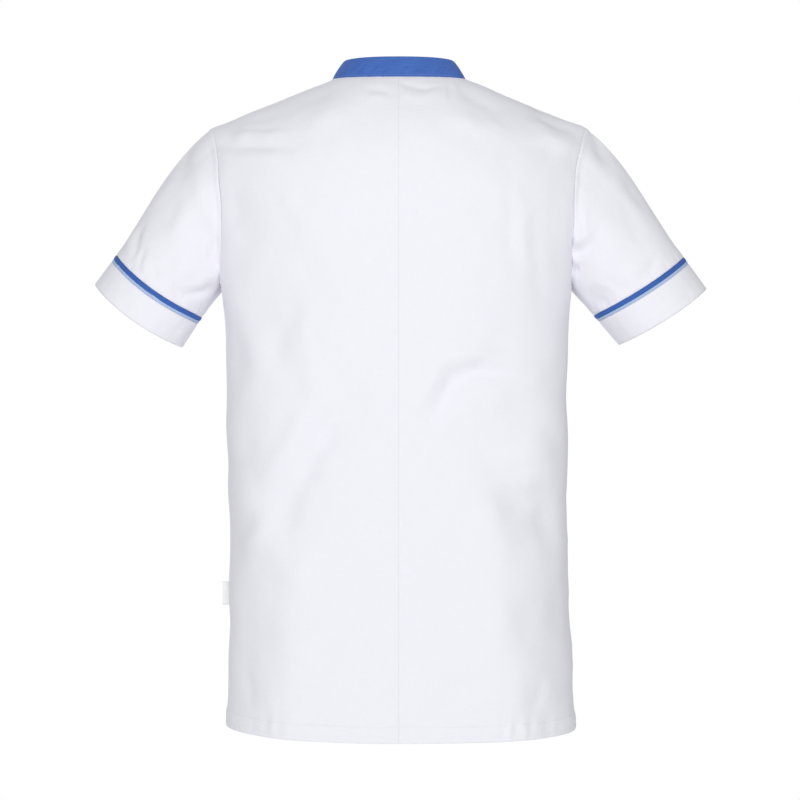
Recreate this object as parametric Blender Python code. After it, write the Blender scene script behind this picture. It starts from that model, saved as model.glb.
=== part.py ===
"""Scrub top: a short-sleeved pull-on tunic with a stand collar, shaped as it hangs when it is worn.

Metres, +Z up. The front faces -Y and the wearer's left is +X. The origin lies midway between the two side
neck points, where the shoulders carry the garment. Each cut piece of cloth is a closed wall of its own.
"""

import math
from collections import namedtuple

import bmesh
import bpy
import numpy as np

# Cloth thicknesses, and the gap between two pieces at a seam
WALL = 0.0015
HEM_WALL = 0.0026
BAND_WALL = 0.0024
SEAM_GAP = 0.0003

# Neck and shoulders
NECK_HALF_WIDTH = 0.081
NECK_BACK_DROP = 0.003
NECK_FRONT_DROP = 0.080
SHOULDER_HALF_WIDTH = 0.224
SHOULDER_SLOPE = 0.4035
NOTCH_HALF_WIDTH = 0.026
NOTCH_BOTTOM = -0.205
NOTCH_PULL = 3

# Armholes and hem
UNDERARM = -0.2445
HEM_SIDE = {"left": -0.769, "right": -0.774}
HEM_CENTRE = {"back": -0.7755, "front": -0.7720}
ARMHOLE_SCOOP = {"back": 0.0056, "front": 0.016}
SCOOP_FLATNESS = 0.7
ARMHOLE_SPREAD = 3

# How a horizontal section squares off, and how the cloth rounds over the shoulder
SQUARENESS = {"back": 2.55, "front": 2.4}
CAP_HEIGHT = {"back": 0.140, "front": 0.230}
CAP_ROUNDNESS = {"back": 2.0, "front": 1.6}

# Grid of one body quarter, from its centre line to its side and from the hem up
NECK_COLUMNS = 6
SHOULDER_COLUMNS = 9
COLUMNS = NECK_COLUMNS + SHOULDER_COLUMNS
LOW_ROWS = 16
HIGH_ROWS = 12
ROWS = LOW_ROWS + HIGH_ROWS
NOTCH_ROW = LOW_ROWS + 2
HEM_DEPTH = 0.020
HEM_STEP = 0.002
SAMPLES = 240
HAIR = 1e-5

# Sleeves, their trims and cuff bands
SLEEVE_ROWS = 8
CUFF_HALF_DEPTH = 0.060
CUFF_FORWARD = 0.004
TRIM_DARK = 0.0053
TRIM_LIGHT = 0.0030
TRIM_PROUD = 0.0005
CUFF_BAND = {"left": 0.0345, "right": 0.0375}
CUFF_ROWS = 2
# How the sleeve leaves the armhole at the shoulder tip and under the arm
LEAVING_TOP = np.array((0.80, 0.0, -0.60))
LEAVING_UNDER = np.array((0.50, 0.0, -0.87))

# The rings below the sleeve: name, grid rows and how far it stands proud
CUFF_RINGS = (
    ("trim_dark", 1, TRIM_PROUD),
    ("trim_light", 1, TRIM_PROUD),
    ("cuff_band", CUFF_ROWS, 0.0),
)

# Stand collar: its lean in degrees, how that changes towards the back and front, and its rounded front ends
COLLAR_HEIGHT = 0.0275
COLLAR_ROWS = 3
COLLAR_BOW = 0.0012
COLLAR_LEAN = 32.0
COLLAR_LEAN_BACK = -10.0
COLLAR_LEAN_FRONT = 20.0
COLLAR_CORNER = (0.62, 0.93, 1.0)
NECK_MIDDLE = np.array((0.0, -0.004, 0.0))

# Side label: a folded tape held in the left side seam
LABEL_TOP = -0.6005
LABEL_HEIGHT = 0.028
LABEL_REACH = 0.0085
LABEL_THICKNESS = 0.0012

# The rim quads of a seam are split towards the corner that lies farthest this way
SPLIT_WAY = (0.31, 0.57, 1.0)
# A mitred rim is made this much deeper at most, and its ways are evened out this often along the seam
MOST_MITRE = 2.0
SHARP_ANGLE = math.radians(40)
WAY_PASSES = 3

# Colours, and how rough all the cloth is
WHITE = (0.86, 0.86, 0.90)
DARK_BLUE = (0.075, 0.165, 0.520)
LIGHT_BLUE = (0.45, 0.58, 0.86)
CUFF_COLOURS = {"trim_dark": DARK_BLUE, "trim_light": LIGHT_BLUE, "cuff_band": WHITE}
CLOTH_ROUGHNESS = 0.85

SIDES = {"left": 1, "right": -1}
FACES = {"back": 1, "front": -1}

# Where each seam lies in a body quarter's grid
SIDE_SEAM = np.s_[: LOW_ROWS + 1, -1]
ARMHOLE = np.s_[LOW_ROWS:, -1]
SHOULDER = np.s_[-1, NECK_COLUMNS:]
NECK = np.s_[-1, : NECK_COLUMNS + 1]
MIDDLE = np.s_[:, 0]
JOINED = np.s_[: NOTCH_ROW + 1, 0]

# The torso, level by level: half widths to the wearer's left and right, and depths to the back and front
Level = namedtuple("Level", "height left right back front")
LEVELS = (
    Level(-0.790, 0.2068, 0.2122, 0.1270, 0.1260),
    Level(-0.700, 0.2042, 0.2103, 0.1255, 0.1250),
    Level(-0.640, 0.2030, 0.2080, 0.1235, 0.1240),
    Level(-0.570, 0.2030, 0.2045, 0.1205, 0.1225),
    Level(-0.500, 0.2045, 0.2030, 0.1190, 0.1215),
    Level(-0.420, 0.2060, 0.2010, 0.1190, 0.1225),
    Level(-0.340, 0.2075, 0.2010, 0.1215, 0.1250),
    Level(-0.270, 0.2090, 0.2040, 0.1245, 0.1270),
    Level(-0.2445, 0.2100, 0.2060, 0.1250, 0.1270),
    Level(-0.208, 0.2135, 0.2095, 0.1250, 0.1260),
    Level(-0.178, 0.2180, 0.2140, 0.1245, 0.1245),
    Level(-0.148, 0.2240, 0.2200, 0.1240, 0.1225),
    Level(-0.114, 0.2310, 0.2270, 0.1225, 0.1200),
    Level(-0.058, 0.2430, 0.2410, 0.1190, 0.1140),
    Level(0.020, 0.2580, 0.2580, 0.1140, 0.1060),
)

# The hem of each cuff seen from behind: its middle, half its height, how much it widens down the sleeve, its
# tilt and the lean of the sleeve above it (both in degrees), and how far its back bows out
CuffHem = namedtuple("CuffHem", "x z half_height flare tilt lean bow")
CUFF_HEMS = {
    "left": CuffHem(0.3127, -0.2820, 0.0645, 0.033, 36.2, 34.8, 0.0065),
    "right": CuffHem(0.3165, -0.2832, 0.0623, -0.037, 33.0, 38.0, 0.0035),
}

# Folds ease off over this much below the neck and inside the sides, where this share of them is left
FOLD_TOP, FOLD_TOP_EASE = -0.030, 0.060
FOLD_SIDE, FOLD_SIDE_EASE, FOLD_SIDE_SHARE = 0.222, 0.030, 0.55
# Shares of a sleeve's length over which its own folds come in below the armhole and go out above the trims
SLEEVE_FOLD_IN, SLEEVE_FOLD_OUT = 0.25, 0.15

# The largest folds: the ends of each on its face, how wide it is, and how far it stands out or falls in
Fold = namedtuple("Fold", "name face x0 z0 x1 z1 width height")
FOLDS = (
    Fold("left blade hollow", "back", 0.185, -0.170, 0.115, -0.240, 0.032, -0.0030),
    Fold("left rib hollow", "back", 0.150, -0.265, 0.195, -0.340, 0.026, -0.0035),
    Fold("left waist drag", "back", 0.060, -0.395, 0.165, -0.520, 0.026, -0.0045),
    Fold("left hip swell", "back", 0.170, -0.505, 0.120, -0.575, 0.028, 0.0045),
    Fold("left side dent", "back", 0.210, -0.470, 0.195, -0.560, 0.020, -0.0030),
    Fold("right waist drag", "back", -0.035, -0.400, -0.120, -0.330, 0.020, -0.0035),
    Fold("right rib hollow", "back", -0.090, -0.410, -0.165, -0.530, 0.028, -0.0045),
    Fold("right hip swell", "back", -0.155, -0.455, -0.185, -0.590, 0.024, 0.0035),
    Fold("left back flute", "back", 0.120, -0.600, 0.135, -0.800, 0.030, 0.0040),
    Fold("right back flute", "back", -0.115, -0.620, -0.140, -0.800, 0.028, 0.0035),
    Fold("left chest drag", "front", 0.120, -0.190, 0.060, -0.330, 0.030, -0.0040),
    Fold("right chest drag", "front", -0.125, -0.200, -0.070, -0.320, 0.028, -0.0035),
    Fold("left waist swell", "front", 0.130, -0.400, 0.150, -0.560, 0.034, 0.0045),
    Fold("right waist swell", "front", -0.110, -0.430, -0.150, -0.590, 0.032, 0.0040),
    Fold("front middle flute", "front", 0.020, -0.420, -0.010, -0.800, 0.036, -0.0045),
    Fold("left front flute", "front", 0.105, -0.600, 0.110, -0.800, 0.030, -0.0035),
    Fold("right front flute", "front", -0.095, -0.600, -0.105, -0.800, 0.030, -0.0030),
    Fold("left underarm drag", "back", 0.228, -0.246, 0.272, -0.262, 0.013, -0.0040),
    Fold("left armhole hollow", "back", 0.232, -0.185, 0.236, -0.215, 0.015, -0.0035),
    Fold("left outer drag", "back", 0.322, -0.172, 0.330, -0.210, 0.013, -0.0030),
    Fold("right armhole hollow", "back", -0.226, -0.190, -0.222, -0.222, 0.014, -0.0035),
    Fold("right underarm drag", "back", -0.226, -0.246, -0.262, -0.262, 0.013, -0.0040),
    Fold("left sleeve drag", "front", 0.230, -0.215, 0.285, -0.240, 0.016, -0.0035),
    Fold("right sleeve drag", "front", -0.230, -0.205, -0.280, -0.235, 0.016, -0.0035),
)


def unit(vectors):
    """Vectors along the last axis, made one long."""
    return vectors / np.maximum(np.linalg.norm(vectors, axis=-1, keepdims=True), 1e-12)


def smooth_run(t, start, leaving, end, arriving):
    """Smooth way from start to end as t goes from 0 to 1, leaving and arriving along the given slopes."""
    return (
        (2 * t**3 - 3 * t**2 + 1) * start
        + (t**3 - 2 * t**2 + t) * leaving
        + (3 * t**2 - 2 * t**3) * end
        + (t**3 - t**2) * arriving
    )


def smooth_through(places, values, at):
    """A smooth curve through the table's values, with each slope taken from its neighbours."""
    places, values, at = (np.asarray(a, float) for a in (places, values, at))
    slopes = np.gradient(values, places)
    low = np.clip(np.searchsorted(places, at, side="right") - 1, 0, len(places) - 2)
    span = places[low + 1] - places[low]
    t = np.clip((at - places[low]) / span, 0, 1)
    return smooth_run(t, values[low], span * slopes[low], values[low + 1], span * slopes[low + 1])


def level_value(column, height):
    """One column of the torso table at any height."""
    heights = [level.height for level in LEVELS]
    return smooth_through(heights, [getattr(level, column) for level in LEVELS], height)


def ridge(x):
    """Height of the shoulder line over a point this far from the middle, carried on over the neck."""
    over_neck = SHOULDER_SLOPE * NECK_HALF_WIDTH / 2 * (1 - (x / NECK_HALF_WIDTH) ** 2)
    return np.where(x < NECK_HALF_WIDTH, over_neck, SHOULDER_SLOPE * (NECK_HALF_WIDTH - x))


def torso_points(face, side, x, z):
    """Points of the torso's surface at these distances from the middle and these heights."""
    power = SQUARENESS[face]
    across = np.clip(1 - np.clip(x / level_value(side, z), 0, 1) ** power, 0, 1) ** (1 / power)
    below = np.clip((ridge(x) - z) / CAP_HEIGHT[face], 0, 1)
    cap = CAP_ROUNDNESS[face]
    over = np.clip(1 - (1 - below) ** cap, 0, 1) ** (1 / cap)
    y = FACES[face] * level_value(face, z) * across * over
    return np.stack([SIDES[side] * x, y, z], axis=-1)


def torso_normals(face, side, points):
    """Outward normals of the torso's surface at its points, taken a hair inside its side and its ridge."""
    x, z = np.abs(points[..., 0]), points[..., 2]
    x = np.minimum(x, level_value(side, z) - 10 * HAIR)
    z = np.minimum(z, ridge(x) - HAIR)
    step = HAIR / 10
    across = torso_points(face, side, x + step, z) - torso_points(face, side, x - step, z)
    up = torso_points(face, side, x, z + step) - torso_points(face, side, x, z - step)
    normals = unit(np.cross(across, up))
    return normals * np.sign(normals[..., 1:2] * FACES[face])


def evenly(points, count):
    """Points count steps apart along a line of points, ends kept."""
    steps = np.linalg.norm(np.diff(points, axis=0), axis=1)
    along = np.concatenate([[0.0], np.cumsum(steps)])
    at = np.linspace(0, along[-1], count + 1)
    return np.stack([np.interp(at, along, points[:, k]) for k in range(3)], axis=1)


def neckline_height(face, x):
    """Height of the neck seam at a distance from the middle."""
    share = np.clip(x / NECK_HALF_WIDTH, 0, 1)
    if face == "back":
        return -NECK_BACK_DROP * (1 - share**2)
    return -NECK_FRONT_DROP * np.sqrt(1 - share**2)


def top_edge(face, side):
    """The neck seam and then the shoulder seam, from the middle out."""
    start = 0.0 if face == "back" else NOTCH_HALF_WIDTH
    turn = np.linspace(math.asin(start / NECK_HALF_WIDTH), math.pi / 2, SAMPLES)
    x = NECK_HALF_WIDTH * np.sin(turn)
    neck = evenly(torso_points(face, side, x, neckline_height(face, x)), NECK_COLUMNS)
    x = np.linspace(NECK_HALF_WIDTH, SHOULDER_HALF_WIDTH, SHOULDER_COLUMNS + 1)
    shoulder = torso_points(face, side, x, ridge(x))
    return np.concatenate([neck[:-1], shoulder])


def armhole_x(face, side, share):
    """Distance of the armhole from the middle, from the underarm at 0 to the shoulder tip at 1."""
    under = level_value(side, UNDERARM)
    scoop = ARMHOLE_SCOOP[face] * np.clip(4 * share * (1 - share), 0, 1) ** SCOOP_FLATNESS
    return under + (SHOULDER_HALF_WIDTH - under) * share**ARMHOLE_SPREAD - scoop


def level_row(face, side, share):
    """One row below the underarm: the hem at share 0, the underarm level at share 1."""
    side_height = HEM_SIDE[side] + (UNDERARM - HEM_SIDE[side]) * share
    middle = HEM_CENTRE[face] + (UNDERARM - HEM_CENTRE[face]) * share
    reach = level_value(side, side_height)
    x = reach * np.sin(np.linspace(0, math.pi / 2, SAMPLES))
    z = middle + (side_height - middle) * (x / reach) ** 2
    points = torso_points(face, side, x, z)
    points[-1, 1] = 0.0
    return evenly(points, COLUMNS)


def high_column(face, side, column, foot, head):
    """One column above the underarm level, from its foot there to its head on the neck or shoulder seam."""
    if face == "front" and column == 0:
        return notch_column(side, foot, head)
    share = np.sin(np.linspace(0, math.pi / 2, SAMPLES))
    out = column / COLUMNS
    z = foot[2] + (head[2] - foot[2]) * share
    straight = abs(foot[0]) + (abs(head[0]) - abs(foot[0])) * share
    under = level_value(side, UNDERARM)
    edge_bow = armhole_x(face, side, share) - (under + (SHOULDER_HALF_WIDTH - under) * share)
    x = straight + edge_bow * out**2
    if face == "front" and column < NECK_COLUMNS:
        opened = np.clip((z - NOTCH_BOTTOM) / (head[2] - NOTCH_BOTTOM), 0, 1)
        x = x + NOTCH_HALF_WIDTH * (opened - share) * (1 - out) ** NOTCH_PULL
    return evenly(torso_points(face, side, x, z), HIGH_ROWS)


def notch_column(side, foot, head):
    """The middle of the front: closed up to the bottom of the notch, then along the notch's edge."""
    z = np.linspace(foot[2], NOTCH_BOTTOM, SAMPLES)
    closed = torso_points("front", side, np.zeros(SAMPLES), z)
    z = np.linspace(NOTCH_BOTTOM, head[2], SAMPLES)
    edge = torso_points("front", side, np.linspace(0, NOTCH_HALF_WIDTH, SAMPLES), z)
    return np.concatenate([evenly(closed, NOTCH_ROW - LOW_ROWS)[:-1], evenly(edge, ROWS - NOTCH_ROW)])


def body_quarter(face, side):
    """Grid of one quarter of the body, rows from the hem up and columns from the middle out."""
    length = UNDERARM - HEM_CENTRE["back"]
    above_hem = np.linspace((HEM_DEPTH + HEM_STEP) / length, 1, LOW_ROWS - 1)
    shares = np.concatenate([(0, HEM_DEPTH / length), above_hem])
    low = np.array([level_row(face, side, share) for share in shares])
    top = top_edge(face, side)
    columns = [high_column(face, side, i, low[-1, i], top[i]) for i in range(COLUMNS + 1)]
    high = np.stack(columns, axis=1)
    high[0] = low[-1]
    high[-1] = top
    return np.concatenate([low[:-1], high])


def grid_normals(grid, outward):
    """Normal of a grid at each point, turned to the side that the outward vectors show."""
    along_rows = np.gradient(grid, axis=0)
    along_columns = np.gradient(grid, axis=1)
    normals = unit(np.cross(along_rows, along_columns))
    flip = np.sign((normals * outward).sum(-1, keepdims=True))
    return normals * np.where(flip == 0, 1, flip)


def fold_height(face, points):
    """How far the folds move each point of a face in or out."""
    total = np.zeros(points.shape[:-1])
    place = points[..., [0, 2]]
    for fold in FOLDS:
        if fold.face != face:
            continue
        start = np.array((fold.x0, fold.z0))
        run = np.array((fold.x1, fold.z1)) - start
        along = np.clip(((place - start) @ run) / (run @ run), 0, 1)
        away = np.linalg.norm(place - start - along[..., None] * run, axis=-1)
        total += fold.height * np.exp(-((away / fold.width) ** 2))
    return total


def eased(share):
    """Goes smoothly from 0 to 1 as the share does."""
    share = np.clip(share, 0, 1)
    return 3 * share**2 - 2 * share**3


def fade(points):
    """1 over most of the body, easing off towards the neck, the shoulder seams and the sides."""
    side = np.clip((FOLD_SIDE - np.abs(points[..., 0])) / FOLD_SIDE_EASE, FOLD_SIDE_SHARE, 1)
    return eased((FOLD_TOP - points[..., 2]) / FOLD_TOP_EASE) * side


class Panel:
    """A piece's outer points in a grid, the ways its thickness runs, its thickness and its edges' shift."""

    def __init__(self, points, normals, thickness):
        self.points = points
        self.normals = normals
        self.ways = normals.copy()
        self.thickness = np.full(points.shape[:2], thickness)
        self.shift = np.zeros_like(points)

    def set_seam(self, edge, beside, ways):
        """Gives an edge the ways it shares with its neighbour, and draws it back by half the seam gap."""
        self.ways[edge] = ways
        self.thickness[edge] /= np.maximum((ways * self.normals[edge]).sum(-1), 1 / MOST_MITRE)
        line = self.points[edge]
        across = unit(np.cross(tangents(line), ways))
        inwards = np.sign(((self.points[beside] - line) * across).sum())
        self.shift[edge] += across * inwards * SEAM_GAP / 2


def build_body():
    """The four quarters of the body, with their folds."""
    grids = {(face, side): body_quarter(face, side) for face in FACES for side in SIDES}
    normals = {key: torso_normals(*key, grid) for key, grid in grids.items()}
    share_normals(normals)
    for key, grid in grids.items():
        moved = fold_height(key[0], grid) * fade(grid)
        grids[key] = grid + normals[key] * moved[..., None]
    for side in SIDES:
        back, front = grids["back", side], grids["front", side]
        for edge in (SIDE_SEAM, SHOULDER):
            back[edge] = front[edge] = (back[edge] + front[edge]) / 2
    panels = {key: Panel(grids[key], normals[key], WALL) for key in grids}
    for panel in panels.values():
        panel.thickness[:2] = HEM_WALL
    return panels


def share_normals(normals):
    """Gives panels that meet the same normals along the seam between them."""
    pairs = [(("back", "left"), ("back", "right"), MIDDLE), (("front", "left"), ("front", "right"), JOINED)]
    for side in SIDES:
        pairs += [(("back", side), ("front", side), edge) for edge in (SIDE_SEAM, SHOULDER)]
    for first, second, edge in pairs:
        normals[first][edge] = normals[second][edge] = unit(normals[first][edge] + normals[second][edge])


def tangents(line):
    """Way of a line at each of its points, carried round where the line is closed."""
    if np.allclose(line[0], line[-1]):
        return np.gradient(np.concatenate([line[-2:-1], line, line[1:2]]), axis=0)[1:-1]
    return np.gradient(line, axis=0)


def even_ways(ways, closed):
    """The ways of a seam's thickness with sudden turns between neighbours evened out."""
    for _ in range(WAY_PASSES):
        before, after = np.roll(ways, 1, axis=0), np.roll(ways, -1, axis=0)
        before[0], after[-1] = (ways[-2], ways[1]) if closed else (ways[0], ways[-1])
        ways = unit(before + 2 * ways + after)
    return ways


def sleeve_axis(side):
    """The way that the lower sleeve runs, down and out."""
    lean = math.radians(CUFF_HEMS[side].lean)
    return np.array((SIDES[side] * math.sin(lean), 0.0, -math.cos(lean)))


def ring_widths(side):
    """How deep each ring below a sleeve is, from the sleeve down."""
    return {"trim_dark": TRIM_DARK, "trim_light": TRIM_LIGHT, "cuff_band": CUFF_BAND[side]}


def rings_depth(side, cuff_band):
    """How far the rings below a sleeve reach with a cuff band of this depth, seam gaps and all."""
    return sum({**ring_widths(side), "cuff_band": cuff_band}.values()) + 3 * SEAM_GAP


def sleeve_ring(side, along, proud=0.0):
    """A ring of the lower sleeve this far along it from the cuff hem, from the top round by the back."""
    hem = CUFF_HEMS[side]
    axis = sleeve_axis(side)
    tilt = math.radians(hem.tilt)
    upright = np.array((SIDES[side] * math.cos(tilt), 0.0, math.sin(tilt)))
    turn = np.linspace(0, 2 * math.pi, 2 * HIGH_ROWS + 1)
    middle = np.array((SIDES[side] * hem.x, -CUFF_FORWARD, hem.z)) + axis * along
    bow = np.outer(np.sin(turn) ** 2, axis * hem.bow)
    up = np.outer(np.cos(turn), upright * (hem.half_height + hem.flare * along + proud))
    out = np.outer(np.sin(turn), (0.0, CUFF_HALF_DEPTH + proud, 0.0))
    return middle + up + out + bow


def armhole_ring(back, front):
    """Values round an armhole, from the shoulder tip down the back, under the arm and up the front."""
    return np.concatenate([back[ARMHOLE][::-1], front[ARMHOLE][1:]])


def tube_normals(grid):
    """Outward normals of a grid that closes round on itself."""
    round_it = np.concatenate([grid[:, -2:-1], grid, grid[:, 1:2]], axis=1)
    outward = round_it - grid[:, :-1].mean(axis=1, keepdims=True)
    return grid_normals(round_it, outward)[:, 1:-1]


def build_sleeve(panels, side):
    """The sleeve from its armhole to its trims, sewn to the back and the front."""
    back, front = panels["back", side], panels["front", side]
    start = armhole_ring(back.points, front.points)
    end = sleeve_ring(side, -rings_depth(side, min(CUFF_BAND.values())))
    turn = np.linspace(0, 2 * math.pi, len(start))
    down = ((1 - np.cos(turn)) / 2)[:, None]
    outwards = np.array((SIDES[side], 1, 1))
    leaving = unit(LEAVING_TOP * outwards * (1 - down) + LEAVING_UNDER * outwards * down)
    reach = np.linalg.norm(end - start, axis=1, keepdims=True)
    t = np.linspace(0, 1, SLEEVE_ROWS + 1)[:, None, None]
    grid = smooth_run(t, start, reach * leaving, end, reach * sleeve_axis(side))
    # a deeper cuff band takes up the lower half of the sleeve and leaves the armhole as it is
    grid += (sleeve_ring(side, -rings_depth(side, CUFF_BAND[side])) - end) * eased(2 * t - 1)
    normals = tube_normals(grid)
    moved = sum(fold_height(face, grid) * np.clip(normals[..., 1] * FACES[face], 0, 1) for face in FACES)
    moved = moved[..., None] * eased(t / SLEEVE_FOLD_IN) * eased((1 - t) / SLEEVE_FOLD_OUT)
    folded = grid + normals * moved
    normals[1:-1] = tube_normals(folded)[1:-1]
    sleeve = Panel(folded, normals, WALL)
    ways = unit(armhole_ring(back.normals, front.normals) + sleeve.normals[0])
    ways = even_ways(ways, closed=True)
    sleeve.set_seam(np.s_[0], np.s_[1], ways)
    back.set_seam(ARMHOLE, np.s_[LOW_ROWS:, -2], ways[: HIGH_ROWS + 1][::-1])
    front.set_seam(ARMHOLE, np.s_[LOW_ROWS:, -2], ways[HIGH_ROWS:])
    return sleeve


def build_cuff(side):
    """The two trims and the cuff band below a sleeve, each a ring of its own."""
    widths = ring_widths(side)
    top = sum(widths.values()) + 2 * SEAM_GAP
    rings = {}
    for name, rows, proud in CUFF_RINGS:
        width = widths[name]
        grid = np.array([sleeve_ring(side, width * k / rows - top, proud) for k in range(rows + 1)])
        rings[name] = Panel(grid, tube_normals(grid), BAND_WALL)
        top -= width + SEAM_GAP
    return rings


def neck_edge(values):
    """Values along the neck seam, from the left of the notch round by the back to its right."""
    parts = [
        values["front", "left"][NECK][:-1],
        values["back", "left"][NECK][::-1],
        values["back", "right"][NECK][1:],
        values["front", "right"][NECK][:-1][::-1],
    ]
    return np.concatenate(parts)


def build_collar(panels):
    """The stand collar, sewn to the neck edges of the back and the front."""
    foot = neck_edge({key: panel.points for key, panel in panels.items()})
    inward = unit((NECK_MIDDLE - foot) * (1, 1, 0))
    back_share = np.clip(foot[:, 1] / foot[:, 1].max(), -1, 1)
    turned = np.where(back_share > 0, COLLAR_LEAN_BACK, -COLLAR_LEAN_FRONT)
    lean = np.radians(COLLAR_LEAN + turned * back_share**2)
    rise = inward * np.sin(lean)[:, None] + np.outer(np.cos(lean), (0, 0, 1))
    from_end = np.minimum(np.arange(len(foot)), np.arange(len(foot))[::-1])
    corner = np.interp(from_end, range(len(COLLAR_CORNER)), COLLAR_CORNER)[:, None]
    share = np.linspace(0, 1, COLLAR_ROWS + 1)[:, None, None]
    bow = COLLAR_BOW * 4 * share * (1 - share)
    grid = foot + rise * COLLAR_HEIGHT * corner * share - inward * bow
    collar = Panel(grid, grid_normals(grid, np.broadcast_to(-inward, grid.shape)), BAND_WALL)
    around = neck_edge({key: panel.normals for key, panel in panels.items()})
    ways = even_ways(unit(around + collar.normals[0]), closed=False)
    collar.set_seam(np.s_[0], np.s_[1], ways)
    strips = (
        ("front", "left", ways[: NECK_COLUMNS + 1]),
        ("back", "left", ways[NECK_COLUMNS : 2 * NECK_COLUMNS + 1][::-1]),
        ("back", "right", ways[2 * NECK_COLUMNS : 3 * NECK_COLUMNS + 1]),
        ("front", "right", ways[3 * NECK_COLUMNS :][::-1]),
    )
    for face, side, strip in strips:
        panels[face, side].set_seam(NECK, np.s_[-2, : NECK_COLUMNS + 1], strip)
    return collar


def close_body_seams(panels):
    """Sets the side, shoulder and centre-back seams."""
    for (face, side), panel in panels.items():
        panel.set_seam(SIDE_SEAM, np.s_[: LOW_ROWS + 1, -2], panel.ways[SIDE_SEAM])
        panel.set_seam(SHOULDER, np.s_[-2, NECK_COLUMNS:], panel.ways[SHOULDER])
        if face == "back":
            panel.set_seam(MIDDLE, np.s_[:, 1], panel.ways[MIDDLE])


def make_cloth(name, panels, colour, collection):
    """One closed piece of cloth from its panels, joined where they share points and thickened inwards."""
    bm = bmesh.new()
    order = bm.verts.layers.int.new("order")
    inner = []
    for panel in panels:
        rows, columns = panel.points.shape[:2]
        made = bmesh.ops.create_grid(bm, x_segments=columns - 1, y_segments=rows - 1, size=1)
        outer = panel.points + panel.shift
        under = outer - panel.ways * panel.thickness[..., None]
        for vert, point, below in zip(made["verts"], outer.reshape(-1, 3), under.reshape(-1, 3)):
            vert.co = point
            vert[order] = len(inner)
            inner.append(below)
    bmesh.ops.remove_doubles(bm, verts=bm.verts[:], dist=HAIR / 10)
    bmesh.ops.recalc_face_normals(bm, faces=bm.faces[:])
    outside = set(bm.verts)
    extruded = bmesh.ops.extrude_face_region(bm, geom=bm.faces[:])
    for vert in extruded["geom"]:
        if isinstance(vert, bmesh.types.BMVert):
            vert.co = inner[vert[order]]
    split_rims([face for face in bm.faces if len(outside.intersection(face.verts)) == 2], outside)
    bmesh.ops.recalc_face_normals(bm, faces=bm.faces[:])
    if bm.calc_volume(signed=True) < 0:
        bmesh.ops.reverse_faces(bm, faces=bm.faces[:])
    return place(name, bm, colour, collection)


def split_rims(rims, outside):
    """Splits each rim quad along the diagonal that its neighbour across the seam gets too."""
    for face in rims:
        verts = list(face.verts)
        first = max(outside.intersection(verts), key=lambda v: v.co.dot(SPLIT_WAY))
        bmesh.utils.face_split(face, first, verts[(verts.index(first) + 2) % 4])


def make_label(panels, colour, collection):
    """The blank tape label, standing out of the left side seam."""
    seam = panels["back", "left"].points[SIDE_SEAM]
    middle = LABEL_TOP - LABEL_HEIGHT / 2
    span = np.linspace(LABEL_TOP - LABEL_HEIGHT, LABEL_TOP, SAMPLES)
    root = np.interp(span, seam[:, 2], seam[:, 0]).max() + SEAM_GAP
    bm = bmesh.new()
    bmesh.ops.create_cube(bm, size=1)
    bmesh.ops.scale(bm, vec=(LABEL_REACH, LABEL_THICKNESS, LABEL_HEIGHT), verts=bm.verts)
    bmesh.ops.translate(bm, vec=(root + LABEL_REACH / 2, 0, middle), verts=bm.verts)
    return place("side_label", bm, colour, collection)


def place(name, bm, colour, collection):
    """Puts a finished mesh in the scene as a named piece of cloth with a material of its own."""
    mesh = bpy.data.meshes.new(name)
    bm.to_mesh(mesh)
    bm.free()
    material = bpy.data.materials.new(name)
    material.use_nodes = True
    shader = material.node_tree.nodes["Principled BSDF"]
    shader.inputs["Base Color"].default_value = (*colour, 1.0)
    shader.inputs["Roughness"].default_value = CLOTH_ROUGHNESS
    shader.inputs["Metallic"].default_value = 0.0
    mesh.materials.append(material)
    mesh.shade_smooth()
    mesh.set_sharp_from_angle(angle=SHARP_ANGLE)
    obj = bpy.data.objects.new(name, mesh)
    collection.objects.link(obj)
    return obj


def build():
    """Makes every piece of the scrub top."""
    for obj in list(bpy.data.objects):
        bpy.data.objects.remove(obj)
    collection = bpy.data.collections.new("scrub_top")
    bpy.context.scene.collection.children.link(collection)

    panels = build_body()
    close_body_seams(panels)
    collar = build_collar(panels)
    for side in SIDES:
        sleeve = build_sleeve(panels, side)
        make_cloth(f"sleeve_{side}", [sleeve], WHITE, collection)
        for name, ring in build_cuff(side).items():
            make_cloth(f"{name}_{side}", [ring], CUFF_COLOURS[name], collection)
    for side in SIDES:
        make_cloth(f"back_{side}", [panels["back", side]], WHITE, collection)
    make_cloth("front", [panels["front", side] for side in SIDES], WHITE, collection)
    make_cloth("collar", [collar], DARK_BLUE, collection)
    make_label(panels, WHITE, collection)


build()
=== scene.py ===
import math

import bmesh
import bpy
import numpy as np
from mathutils import Matrix, Vector


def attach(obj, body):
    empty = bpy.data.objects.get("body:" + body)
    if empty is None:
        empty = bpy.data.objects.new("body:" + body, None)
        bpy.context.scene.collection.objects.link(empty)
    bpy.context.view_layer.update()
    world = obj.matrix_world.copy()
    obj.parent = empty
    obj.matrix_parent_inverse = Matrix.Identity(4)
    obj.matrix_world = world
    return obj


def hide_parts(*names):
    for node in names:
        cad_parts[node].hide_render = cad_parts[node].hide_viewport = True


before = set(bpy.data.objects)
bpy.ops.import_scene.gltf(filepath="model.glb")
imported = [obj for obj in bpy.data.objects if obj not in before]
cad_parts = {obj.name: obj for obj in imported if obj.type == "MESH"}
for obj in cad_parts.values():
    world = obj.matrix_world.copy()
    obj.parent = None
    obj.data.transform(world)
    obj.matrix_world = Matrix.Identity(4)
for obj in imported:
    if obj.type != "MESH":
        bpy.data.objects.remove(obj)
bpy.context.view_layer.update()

print("frame loaded:", len(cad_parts), "cut pieces")

mm = 0.001
sideSign = {"left": 1, "right": -1}
faceSign = {"back": 1, "front": -1}

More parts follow.
